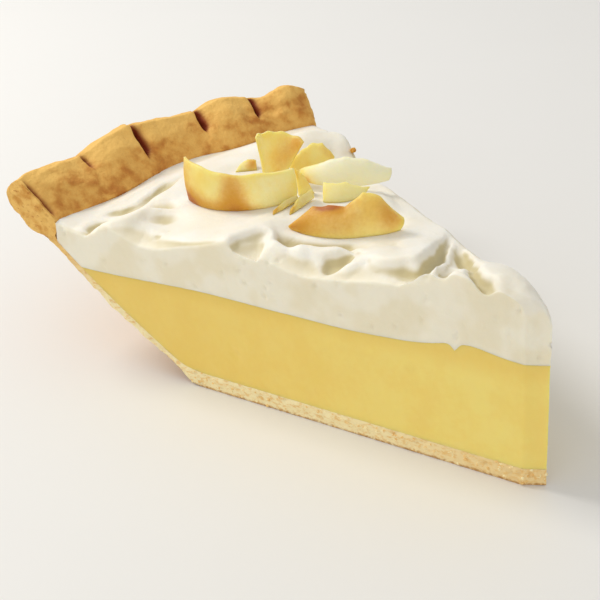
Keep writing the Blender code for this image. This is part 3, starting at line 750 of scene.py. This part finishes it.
# Spatula work: x and y of points along it, how far it reaches on its left and on its right (a short reach
# makes a crisp edge), and its height (hollows are negative).
STROKES = (
    ((-33.5, 104.3, -27.5, 103.9, -22.8, 103.5, -16, 104.4, -11.1, 105.8, -6, 107.6,
      -1.9, 108.6), 1.2, 1.2, 0.6),
    ((-34.3, 98.3, -32.1, 97.1, -29.2, 96.9, -25.7, 94.3, -21.8, 92.7, -18.3, 90.4, -15.2, 86.5, -10.4, 85.2,
      -6.1, 85.7), 2.9, 1.3, -2.2),
    ((-27.6, 101.3, -24.4, 99.7, -21, 98.1, -18.3, 97.2, -14.2, 98.8, -8.8, 101.1,
      -3.2, 102.4), 1.3, 2.2, -1.6),
    ((-35, 93.8, -32.6, 93.6, -30.8, 93, -28.8, 91.2, -26.3, 89.5, -22.5, 89.7, -19.5, 88.7, -16.6, 85.6,
      -13.3, 83.7, -8.9, 84.5), 0.9, 1.8, 1),
    ((-25.5, 89.2, -22.4, 87.4, -20.6, 85.4, -18.7, 82), 1.7, 1.5, -0.45),
    ((-34.7, 103.3, -32.8, 102.3, -30.2, 101.9), 0.9, 0.9, -0.5),
    ((-25, 82.8, -24.6, 81.1), 0.5, 0.5, -0.5),
    ((-22.6, 81.5, -22.3, 80.9), 0.4, 0.4, -0.3),
    ((-23.9, 59.6, -21.6, 61.1, -19.4, 62, -17.7, 61.4, -15.7, 60, -14.4, 58.3,
      -14, 56.1), 1.4, 11, -1.8),
    ((-11.1, 61.3, -12.4, 58.4, -12.7, 55.6, -11.6, 53.5, -9.7, 50.9, -7.6, 47.6, -5.9, 44.7,
      -4.9, 41.4), 3.6, 1.2, -2.3),
    ((-13, 61.7, -14, 59.1, -14.6, 56.6, -14.3, 54.3, -13.5, 52.1), 1.1, 1.8, 0.6),
    ((-14.4, 53.4, -13.5, 51.8, -12.3, 50.4, -10.9, 48.6, -9.6, 46.4, -8.7, 43.2,
      -8.3, 39.8), 1.3, 2.6, 1.7),
    ((-12.4, 46.2, -11.5, 43.9, -10, 42.6, -7.9, 41.3), 1.3, 1.6, -2),
    ((-12.3, 41.3, -11, 39.4, -9.6, 38.6, -7.2, 39.6), 1, 1, 0.8),
    ((-4.6, 46.2, -5.7, 43, -7, 39.1, -7.4, 35.4, -6.9, 32.8, -5.6, 30.8, -3.7, 30, -0.6, 30.9,
      3.7, 33.3, 7.8, 35.7, 11.5, 37.8), 6, 1.4, 1.5),
    ((-9.3, 33.4, -8.3, 30.5, -7.6, 27.9, -6, 26.5, -3.2, 27, 1.5, 29.8, 6.6, 33.2,
      10.8, 35.8), 1.2, 2.2, -1.9),
    ((-7, 23.6, -3.7, 24.2, 2.8, 28.8, 9.2, 33.7), 0.8, 0.8, 0.8),
    ((-7.1, 22.5, -6, 21, -3.5, 21.3, 3.7, 27.2, 9.2, 32.1), 2.2, 1.7, -1.7),
    ((-9.3, 30.2, -8.9, 26.1, -7.9, 22.7, -6.4, 19.6, -5.4, 16.6, -4.7, 12.7), 1.1, 1.1, 1.4),
    ((10.1, 33.3, 6.6, 28.4, -2, 18.1, -3.7, 14.6, -3.9, 12.2, -3.6, 10.2), 1.3, 1.3, -2),
    ((4.6, 27.6, -1.9, 20, -4.6, 16.9), 0.9, 0.9, 0.5),
    ((-2.4, 11.8, -1.9, 9.1, -1.3, 6.8, -0.6, 4.8, 0, 3.4), 2.2, 1.8, -0.7),
    ((-2.4, 13.5, -1.8, 10.7, -0.5, 8.6, 0.1, 6.5), 1.4, 1.4, 0.4),
    ((-29, 87, -24, 80, -19, 70), 5, 3, 0.4),
    ((9, 99, 20, 97.5, 30, 92), 4.5, 4.5, 0.8),
    ((6, 62, 12, 60, 17, 58), 6, 6, 1),
    ((12, 54, 8, 48, 2, 46), 2, 3, -0.9),
    ((16, 95, 23, 91, 29, 87, 36, 82.5), 4.5, 4, 2.4),
)
STROKE_STEPS = 24
STROKE_TAPER = 0.30
STROKE_THIN = 0.45
STROKE_LOW = 0.1
STROKE_BLUNT = 2.7
WAVER = 0.22
WAVER_TURN = 0.5

# The shavings stand in the cream, which rises round their feet. Each foot is the lower edge of a shaving:
# where it starts, its heading at start and end, its length and its climb; then how far round it cream rises.
FEET = {
    "ribbon": ((-13.7, 86.2, 34.4), (-106.0, 1.0), 26.2, 1.3, 5.0),
    "fold": ((3.1, 82.8, 32.9), (19.0, -75.0), 3.9, 0.2, 2.5),
    "round": ((8.1, 80.8, 33.0), (-34.0, -39.0), 8.2, 0.4, 2.5),
    "long": ((6.8, 74.2, 35.3), (-82.0, -8.0), 18.7, -0.2, 0.0),
    "pale": ((3.0, 63.5, 35.2), (-64.0, 13.0), 9.0, 0.1, 2.5),
    "toasted": ((-8.9, 58.7, 35.2), (-90.0, -13.0), 22.4, 0.7, 2.2),
    "sliver_low": ((-8.5, 65.1, 35.9), (7.0, 10.0), 7.5, 0.5, 1.6),
    "sliver_high": ((-6.2, 62.9, 35.7), (10.0, 14.0), 7.9, 0.7, 1.6),
    "end": ((2.0, 70.0, 34.6), (-16.0, -10.0), 3.5, -0.1, 2.5),
    "scrap": ((2.2, 92.1, 33.4), (-42.0, -35.0), 4.7, 0.1, 2.5),
}
FOOT_STEPS = 16
FOOT_SINK = 0.15


def beside(line, x, y):
    """How far points lie from a line, on which side of it (left is above 0), and how far along it, 0 to 1."""
    nearest, side, along = np.full(x.shape, np.inf), np.zeros_like(x), np.zeros_like(x)
    for k, ((ax, ay), (bx, by)) in enumerate(zip(line[:-1], line[1:])):
        dx, dy = bx - ax, by - ay
        t = np.clip(((x - ax) * dx + (y - ay) * dy) / (dx * dx + dy * dy), 0.0, 1.0)
        gap = np.hypot(x - ax - t * dx, y - ay - t * dy)
        closer = gap < nearest
        nearest = np.where(closer, gap, nearest)
        side = np.where(closer, (y - ay) * dx - (x - ax) * dy, side)
        along = np.where(closer, (k + t) / (len(line) - 1.0), along)
    return nearest, side, along


def foot_line(start, heading, length):
    """Points along a shaving's lower edge, which turns evenly from its first heading to its last."""
    turn = np.radians(np.linspace(heading[0], heading[1], 2 * FOOT_STEPS - 1)[1::2])
    step = length / (FOOT_STEPS - 1)
    ahead = np.cumsum(step * np.stack([np.cos(turn), np.sin(turn)], axis=-1), axis=0)
    return np.vstack([start[:2], start[:2] + ahead])


def nested(x, y, z):
    """The cream's height once it has risen, or sunk, to the feet of the shavings that stand in it."""
    weight, lift = np.full(x.shape, 1e-6), np.zeros_like(z)
    for start, heading, length, rise, reach in FEET.values():
        if reach:
            gap, _, along = beside(foot_line(start, heading, length), x, y)
            near = bell(gap / reach)
            weight += near
            lift += near**2 * (start[2] + rise * along + FOOT_SINK - z)
    return z + lift / weight


def stroke_height(x, y):
    """All strokes added up. They waver a little, and they thin out towards both ends."""
    total = np.zeros_like(x)
    x, y = (
        x + sum(WAVER / n * np.sin(y * n * WAVER_TURN + x * 0.6 * n + n * n) for n in (1, 2, 3)),
        y + sum(WAVER / n * np.sin(x * n * WAVER_TURN - y * 0.5 * n + 5 * n) for n in (1, 2, 3)),
    )
    for points, left, right, height in STROKES:
        points = np.reshape(points, (-1, 2))
        at = np.linspace(0.0, len(points) - 1.0, STROKE_STEPS)
        nearest, side, along = beside(spline_rows(at, len(points)) @ points, x, y)
        fade = ramp(np.minimum(along, 1.0 - along), 0.0, STROKE_TAPER)
        reach = np.where(side > 0.0, left, right) * lerp(STROKE_THIN, 1.0, fade)
        total += height * lerp(STROKE_LOW, 1.0, fade) * np.exp(-((nearest / reach) ** STROKE_BLUNT))
    return total


def sunk_edge(x, y):
    """How far the cream sinks towards the nearer cut, as a share of the drop there, and that drop."""
    r, theta = np.hypot(x, y), np.arctan2(x, y)
    edges = [np.transpose(edge) for edge in (CREAM_FRONT_EDGE, CREAM_BACK_EDGE)]
    drop, width = (np.where(theta < 0.0, *(np.interp(r, edge[0], edge[k]) for edge in edges)) for k in (1, 2))
    return 1.0 - ramp(r * np.sin(HALF_ANGLE - np.abs(theta)), 0.0, width), drop


def cream_top(x, y):
    """Height of the cream: the lines along the cuts, the strokes, and the soft edges at tip and cuts."""
    r, theta = np.hypot(x, y), np.arctan2(x, y)
    across = theta / HALF_ANGLE
    front, back = (eased(r, line, CREAM_BLEND) for line in (CREAM_FRONT, CREAM_BACK))
    calm = 1.0 - ramp(r, *CREAM_CALM)
    base = lerp(front, back, ramp(across, -1.0, 1.0))
    base = base + calm * (CREAM_DOME * (1.0 - across**2) + stroke_height(x, y))
    share, drop = sunk_edge(x, y)
    nose = np.clip(1.0 - (r - tip_radius(theta)) / CREAM_NOSE, 0.0, 1.0)
    return nested(x, y, base) - drop * share - CREAM_NOSE * (1.0 - np.sqrt(1.0 - nose**2))


CREAM_WHITE = shade(247, 243, 232)
CREAM_IVORY = shade(243, 237, 221)
CREAM_CUT = shade(248, 241, 222)
CREAM_CUT_TAN = shade(238, 228, 198)
CREAM_SHADOW = shade(212, 199, 156)
# Painted shade darkens the hollows: how many steps round a point count, and where the mark starts from the
# tip. Steep cream gets painted shade as well, and cream that has sunk by SUNK_CUT beside a cut looks cut.
SHADE_REACH = 90
SHADE_FROM = (0.03, 0.08)
SHADE_AT_TIP = 0.4
STEEP = (0.35, 1.3)
STEEP_SHADE = 0.5
SUNK_CUT = 2.0
CREAM_RELIEF = (9.0, 0.22, 2.4, 0.06, 2.2, 0.16, 1.8, 0.35, 0.14)


def cream_finish():
    """Nearly white and satin, with painted shade in the hollows and on steep cream, and warmer on the cuts.
    """
    look = Finish("whipped_cream", 0.25, (0.5, (1.0, 0.9, 0.75), 0.0008))
    cloud, fine = look.noise(8.0), look.noise(0.9, 3.0, 0.6)
    colour = look.mix(cloud.between(0.3, 0.7), CREAM_WHITE, CREAM_IVORY)
    # Painted shade: the hollow mark darkens the cream towards CREAM_SHADOW.
    colour = look.mix(look.mark("hollow").between(0.08, 0.85), colour, CREAM_SHADOW)
    sliced = look.mix(cloud.between(0.42, 0.62) * 0.6 + fine * 0.2, CREAM_CUT, CREAM_CUT_TAN)
    return look.finish(look.mix(look.mark("cut"), colour, sliced), 0.42 + fine * 0.2, fine, 0.1)


def cream_block():
    """The cream, with a painted-shade mark of how far its top lies below what is round it, and how steep it
    is.
    """
    block, marks = filling_block(
        CREAM_ANGLES, CREAM_STATIONS, CREAM_LEVELS, CUSTARD_RIM_Z, JUNCTION[1],
        lambda x, y: custard_top(x, y) - BED, cream_top, False,
    )
    top = block[:, :, -1]
    around = top[..., 2]
    for _ in range(SHADE_REACH):
        padded = np.pad(around, 1, mode="edge")
        around = 0.25 * (padded[:-2, 1:-1] + padded[2:, 1:-1] + padded[1:-1, :-2] + padded[1:-1, 2:])
    inside = ramp(even(CREAM_STATIONS), *SHADE_FROM)[:, None]
    normal = np.cross(np.gradient(top, axis=0), np.gradient(top, axis=1))
    slope = np.hypot(normal[..., 0], normal[..., 1]) / np.abs(normal[..., 2])
    # Painted shade: depth below the smoothed surface round it, plus a share for steep slopes.
    hollow = inside * (around - top[..., 2]) + STEEP_SHADE * ramp(slope, *STEEP)
    marks["hollow"] = np.zeros(block.shape[:3])
    marks["hollow"][:, :, -1] = hollow * lerp(SHADE_AT_TIP, 1.0, inside)
    share, drop = sunk_edge(top[..., 0], top[..., 1])
    marks["cut"][:, :, -1] = np.maximum(marks["cut"][:, :, -1], share * ramp(drop, 0.0, SUNK_CUT))
    return block, marks


cream = in_relief(skin_object("cream_topping", *cream_block()), cream_finish(), 8, CREAM_RELIEF)
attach(cream, "root")
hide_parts("whipped_cream")

# ------------------------------------------------
# Coconut shavings.
# Thin curls peeled off fresh coconut flesh and toasted in the oven: waxy, pale yellow, and brown where an
# edge caught the heat. They were dropped on the cream by hand, and the heap leans on itself.

SHAVING_THICK = 0.9
SHAVING_GRID = (80, 26, 5)
# Each shaving: its width at even steps along it; how far it tips over at both ends, in degrees; the hollow
# across its width; how far the upper edge runs ahead at both ends; how white the flesh is at even steps; and
# its browned places, along and across from 0 to 1, how far each reaches both ways, and how dark it is. On
# the ribbon, the place halfway along and across its whole width is painted shade, not browning.
SHAVINGS = {
    "ribbon": ((9.2, 8.8, 7.7, 7.3, 6.4), (2.0, 4.0), 0.5, (-0.9, 0.1), (0.0, 0.0, 0.1, 0.5, 0.5),
        ((0.0, 0.6, 0.20, 1.0, 0.34), (0.05, 0.0, 0.12, 0.30, 0.95), (0.24, 0.0, 0.2, 0.35, 0.42),
        (0.51, 0.3, 0.11, 1.0, 0.50), (0.58, 0.0, 0.25, 0.25, 0.25))),
    "fold": ((11.6, 11.1, 10.5, 9.6), (2.0, 16.0), 0.2, (-1.2, 4.7), (0.5, 0.2, 0.0),
        ((0.7, 0.5, 0.4, 0.5, 0.25), (0.95, 0.9, 0.2, 0.25, 0.35))),
    "round": ((3.5, 6.1, 6.9, 7.3, 3.8), (25.0, 24.0), 0.4, (0.4, 1.6), (0.2, 0.1),
        ((0.9, 0.9, 0.3, 0.3, 0.25),)),
    "long": ((2.2, 4.7, 6.2, 5.2, 2.3), (26.0, 25.0), 0.6, (-1.7, 1.3), (0.3, 0.9, 0.95, 0.9),
        ((0.05, 0.1, 0.10, 0.4, 0.4),)),
    "pale": ((4.2, 4.0, 0.8), (42.0, 44.0), 0.2, (-1.0, 2.9), (0.4, 0.4), ()),
    "toasted": ((0.8, 5.5, 6.3, 5.8, 9.0, 6.9, 2.1), (35.0, 24.0), 0.8, (-0.6, 1.4), (0.0, 0.0),
        ((0.34, 1.0, 0.15, 0.20, 1.0), (0.04, 0.3, 0.16, 0.6, 0.5), (0.38, 0.6, 0.5, 0.8, 0.36),
        (0.90, 0.6, 0.10, 0.6, 0.30))),
    "sliver_low": ((0.9, 1.4, 1.0), (49.0, 50.0), 0.1, (0.9, 0.3), (0.2, 0.4), ((0.0, 0.5, 0.2, 0.8, 0.5),
        (0.6, 0.5, 0.6, 0.9, 0.18))),
    "sliver_high": ((1.1, 2.1, 1.7), (43.0, 43.0), 0.1, (1.4, 0.8), (0.2, 0.4), ((0.0, 0.5, 0.2, 0.8, 0.4),
        (0.6, 0.5, 0.6, 0.9, 0.18))),
    "end": ((6.0, 5.0, 4.3), (10.0, 25.0), 0.1, (0.0, -1.3), (0.1, 0.3), ((0.0, 0.9, 0.3, 0.3, 0.35),)),
    "scrap": ((1.9, 3.1, 2.7), (55.0, 55.0), 0.1, (0.9, 0.0), (0.4, 0.2), ((0.8, 0.5, 0.4, 0.8, 0.45),)),
}

COCONUT_WHITE = shade(255, 244, 214)
COCONUT_PALE = shade(250, 230, 156)
COCONUT_YELLOW = shade(244, 212, 112)
COCONUT_GOLD = shade(210, 160, 56)
COCONUT_BROWN = shade(174, 102, 30)
# The outline is a little ragged, the edges are thinner than the middle, and the flesh ripples.
RAGGED = 0.035
RAGGED_WAVES = range(2, 7)
EDGE_THIN = (0.85, 10, 0.05)
EDGE_YELLOW = 6
RIPPLE = (0.12, 4.0)
RIPPLE_SHIFT = 7.3
SHAVING_SIZES = (
    "Heading start", "Heading end", "Length", "Rise", "Lean start", "Lean end", "Cup",
    "Slant start", "Slant end", "Ripple height", "Ripple length",
)


def coconut_finish():
    """Waxy flesh, yellower at the edges, white where pale, gold to brown where toasted and where shade is
    painted.
    """
    look = Finish("toasted_coconut", 0.35, (0.85, (1.0, 0.85, 0.5), 0.002))
    cloud, fibre, edge = look.noise(5.0), look.noise(0.8, 3.0, 0.6), look.mark("edge")
    # The toast mark also carries painted shade: the band across the ribbon.
    toast_and_shade = look.mark("toast_and_shade") + (fibre - 0.5) * 0.16 * look.mark("toast_and_shade").between(0.02, 0.2)
    colour = look.mix((cloud + edge * 0.12).between(0.25, 0.85), COCONUT_PALE, COCONUT_YELLOW)
    pale = (look.mark("pale") * 1.3 - edge * 0.4 - fibre * 0.3).between(0.0, 1.0)
    colour = look.mix(pale, colour, COCONUT_WHITE)
    colour = look.mix(toast_and_shade.between(0.05, 0.55), colour, COCONUT_GOLD)
    colour = look.mix(toast_and_shade.between(0.5, 1.0), colour, COCONUT_BROWN)
    return look.finish(colour, 0.40 + fibre * 0.2, fibre, 0.12)


def shaving_tree(material):
    """Geometry nodes that bend a flat strip along an arc, lean it over, and hollow it across its width."""
    shape = Shape("shaving", SHAVING_SIZES, ("Seed",), ("Foot",))
    size, degree = shape.size, radians(1.0)
    t, v, wide, off = (shape.mark(name) for name in ("along", "across", "wide", "off"))

    def spread(label):
        return size(label + " end") - size(label + " start")

    def between_ends(label):
        return size(label + " start") + spread(label) * t

    heading, lean = between_ends("Heading") * degree, between_ends("Lean") * degree
    first, turn = size("Heading start") * degree, spread("Heading") * degree
    foot = [shape.node("ShaderNodeSeparateXYZ", {0: size("Foot")}, k) for k in range(3)]
    reach = size("Length") / turn
    east, north, sunk, upright = heading.sine(), heading.cosine(), lean.sine(), lean.cosine()
    x = foot[0] + reach * (east - first.sine())
    y = foot[1] + reach * (first.cosine() - north)
    z = foot[2] + size("Rise") * t
    shift = size("Seed") * RIPPLE_SHIFT
    grain = shape.node("ShaderNodeCombineXYZ", {0: t * size("Length"), 1: v * wide, 2: shift})
    ripple = shape.node("ShaderNodeTexNoise", {
        "Vector": grain, "Scale": 1.0 / size("Ripple length"), "Detail": 2.0,
    })
    out = size("Cup") * 4.0 * v * (1.0 - v) + (ripple - 0.5) * 2.0 * size("Ripple height") + off
    up, forward = wide * v, between_ends("Slant") * v
    place = shape.node("ShaderNodeCombineXYZ", {
        0: (x - up * east * sunk + forward * north + out * east * upright) * MM,
        1: (y + up * north * sunk + forward * east - out * north * upright) * MM,
        2: (z + up * upright + out * sunk) * MM,
    })
    bent = shape.node("GeometryNodeSetPosition", {"Geometry": size("Geometry"), "Position": place})
    return shape.dressed(shape.node("GeometryNodeSetShadeSmooth", {"Geometry": bent}), material)


def strip_marks(seed, wide, toast_and_shade, pale):
    """Along, across, width, thickness, browning and painted shade of a strip, with a slightly ragged outline.
    """
    along, across, deep = SHAVING_GRID
    t, v, k = np.meshgrid(even(along), even(across), np.linspace(-1.0, 1.0, deep), indexing="ij")
    draw = np.random.default_rng(seed)
    ragged = sum(
        draw.normal(0.0, RAGGED / n) * np.sin(2.0 * pi * n * t + draw.uniform(0.0, 6.3))
        for n in RAGGED_WAVES
    )
    width, flesh = (np.interp(t, even(len(values)), values) for values in (wide, pale))
    rim = np.maximum(np.abs(2.0 * v - 1.0), np.abs(2.0 * t - 1.0))
    share, power, least = EDGE_THIN
    thick = 0.5 * SHAVING_THICK * np.sqrt(np.clip(1.0 - share * rim**power, least, 1.0))
    brown = sum(dark * bell((t - at) / far_t, (v - up) / far_v) for at, up, far_t, far_v, dark in toast_and_shade)
    return {
        "along": t, "across": v, "wide": width * (1.0 + ragged * v), "off": thick * k,
        "toast_and_shade": brown, "edge": rim**EDGE_YELLOW, "pale": flesh,
    }


coconut_material = coconut_finish()
shaving_bend = shaving_tree(coconut_material)
for seed, (kind, (wide, lean, cup, slant, pale, toast_and_shade)) in enumerate(SHAVINGS.items(), start=1):
    node = "shaving_" + kind
    (foot_x, foot_y, foot_z), heading, length, rise, _ = FEET[kind]
    marks = strip_marks(seed, wide, toast_and_shade, pale)
    strip = np.stack([marks["along"], marks["across"], marks["off"]], axis=-1)
    shaving = worked(skin_object("coconut_" + kind, strip, marks), shaving_bend, dict(
        zip(SHAVING_SIZES, (*heading, length, rise, *lean, cup, *slant, *RIPPLE)), Seed=seed,
        Foot=(foot_x - FOOTPRINT_CENTRE[0], foot_y - FOOTPRINT_CENTRE[1], foot_z),
    ))
    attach(shaving, "root")
    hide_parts(node)

# A single toasted crumb of coconut lies on the cream, close to the back cut.
SPECK_PLACE = (27.7, 82.8, 33.1)
SPECK_SIZES = (0.75, 0.6, 0.55)
SPECK_KNOBS = 0.22
SPECK_TOAST = 0.72
speck_mesh = bpy.data.meshes.new("coconut_speck")
ball = bmesh.new()
bmesh.ops.create_icosphere(ball, subdivisions=4, radius=1.0)
for point in ball.verts:
    way = point.co.copy()
    knob = 1.0 + SPECK_KNOBS * sin(4.0 * way.x + 1.0) * sin(5.0 * way.y) * cos(3.0 * way.z + 2.0)
    point.co = MM * Vector(
        SPECK_PLACE[k] - (*FOOTPRINT_CENTRE, 0.0)[k] + knob * SPECK_SIZES[k] * way[k] for k in range(3)
    )
ball.to_mesh(speck_mesh)
ball.free()
speck_mesh.shade_smooth()
toast_mark = speck_mesh.attributes.new("toast_and_shade", "FLOAT", "POINT")
toast_mark.data.foreach_set("value", [SPECK_TOAST] * len(speck_mesh.vertices))
speck_mesh.materials.append(coconut_material)
speck = set_down("coconut_speck", speck_mesh)
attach(speck, "root")

# ------------------------------------------------
# Table, lights and camera.
# A pale matt top; a soft round lamp from behind the rim and a wide, weak one from beside the front cut; and a
# white room that fills the shadows. The camera stands where the photograph was taken from.

bpy.context.scene.view_settings.view_transform = "Standard"

TABLE_HALF = 3.0
TABLE_PALE = shade(236, 235, 232)
TABLE_GREY = shade(234, 233, 230)
table_mesh = bpy.data.meshes.new("table_top")
corners = [(x * TABLE_HALF, y * TABLE_HALF, 0.0) for x, y in ((-1, -1), (1, -1), (1, 1), (-1, 1))]
table_mesh.from_pydata(corners, [], [(0, 1, 2, 3)])
table_top = set_down("table_top", table_mesh)
table_look = Finish("pale_table", 0.3)
table_grain = table_look.noise(40.0)
table_colour = table_look.mix(table_grain, TABLE_PALE, TABLE_GREY)
table_mesh.materials.append(table_look.finish(table_colour, 0.5 + table_grain * 0.1, table_grain, 0.05))

ROOM_WHITE = (1.0, 0.99, 0.97, 1.0)
ROOM_STRENGTH = 0.62
room = bpy.data.worlds.new("white_room")
room.use_nodes = True
room.node_tree.nodes["Background"].inputs["Color"].default_value = ROOM_WHITE
room.node_tree.nodes["Background"].inputs["Strength"].default_value = ROOM_STRENGTH
bpy.context.scene.world = room

# Each lamp: the way it stands from the slice, how high in degrees, its width and its power.
LAMPS = {
    "soft_lamp": ((-0.35, 0.95), 45.0, 0.25, 2.5),
    "fill_lamp": ((-0.90, -0.45), 22.0, 0.60, 0.60),
}
LAMP_AWAY = 0.7
LAMP_WHITE = (1.0, 0.98, 0.95)
for name, (towards, height, across, power) in LAMPS.items():
    lamp_data = bpy.data.lights.new(name, "AREA")
    lamp_data.shape, lamp_data.size, lamp_data.energy = "DISK", across, power
    lamp_data.color = LAMP_WHITE
    lamp = set_down(name, lamp_data)
    level_way = Vector((*towards, 0.0)).normalized() * cos(radians(height))
    lamp.location = LAMP_AWAY * (level_way + Vector((0.0, 0.0, sin(radians(height)))))
    lamp.rotation_euler = (-lamp.location).to_track_quat("-Z", "Y").to_euler()

CAMERA_PLACE = Vector((-0.13603, -0.17432, 0.14048))
CAMERA_TURN = radians(36.91)
CAMERA_DOWN = radians(29.63)
CAMERA_ROLL = radians(4.57)
CAMERA_LENS = 74.4
CAMERA_NEAR = 0.01
down = cos(CAMERA_DOWN)
ahead = Vector((sin(CAMERA_TURN) * down, cos(CAMERA_TURN) * down, -sin(CAMERA_DOWN)))
level = Vector((cos(CAMERA_TURN), -sin(CAMERA_TURN), 0.0))
upward = level.cross(ahead)
right = level * cos(CAMERA_ROLL) - upward * sin(CAMERA_ROLL)
top = level * sin(CAMERA_ROLL) + upward * cos(CAMERA_ROLL)
camera = set_down("camera", bpy.data.cameras.new("camera"))
camera.data.lens = CAMERA_LENS
camera.data.clip_start = CAMERA_NEAR
camera.matrix_world = Matrix.Translation(CAMERA_PLACE) @ Matrix((right, top, -ahead)).transposed().to_4x4()
bpy.context.scene.camera = camera
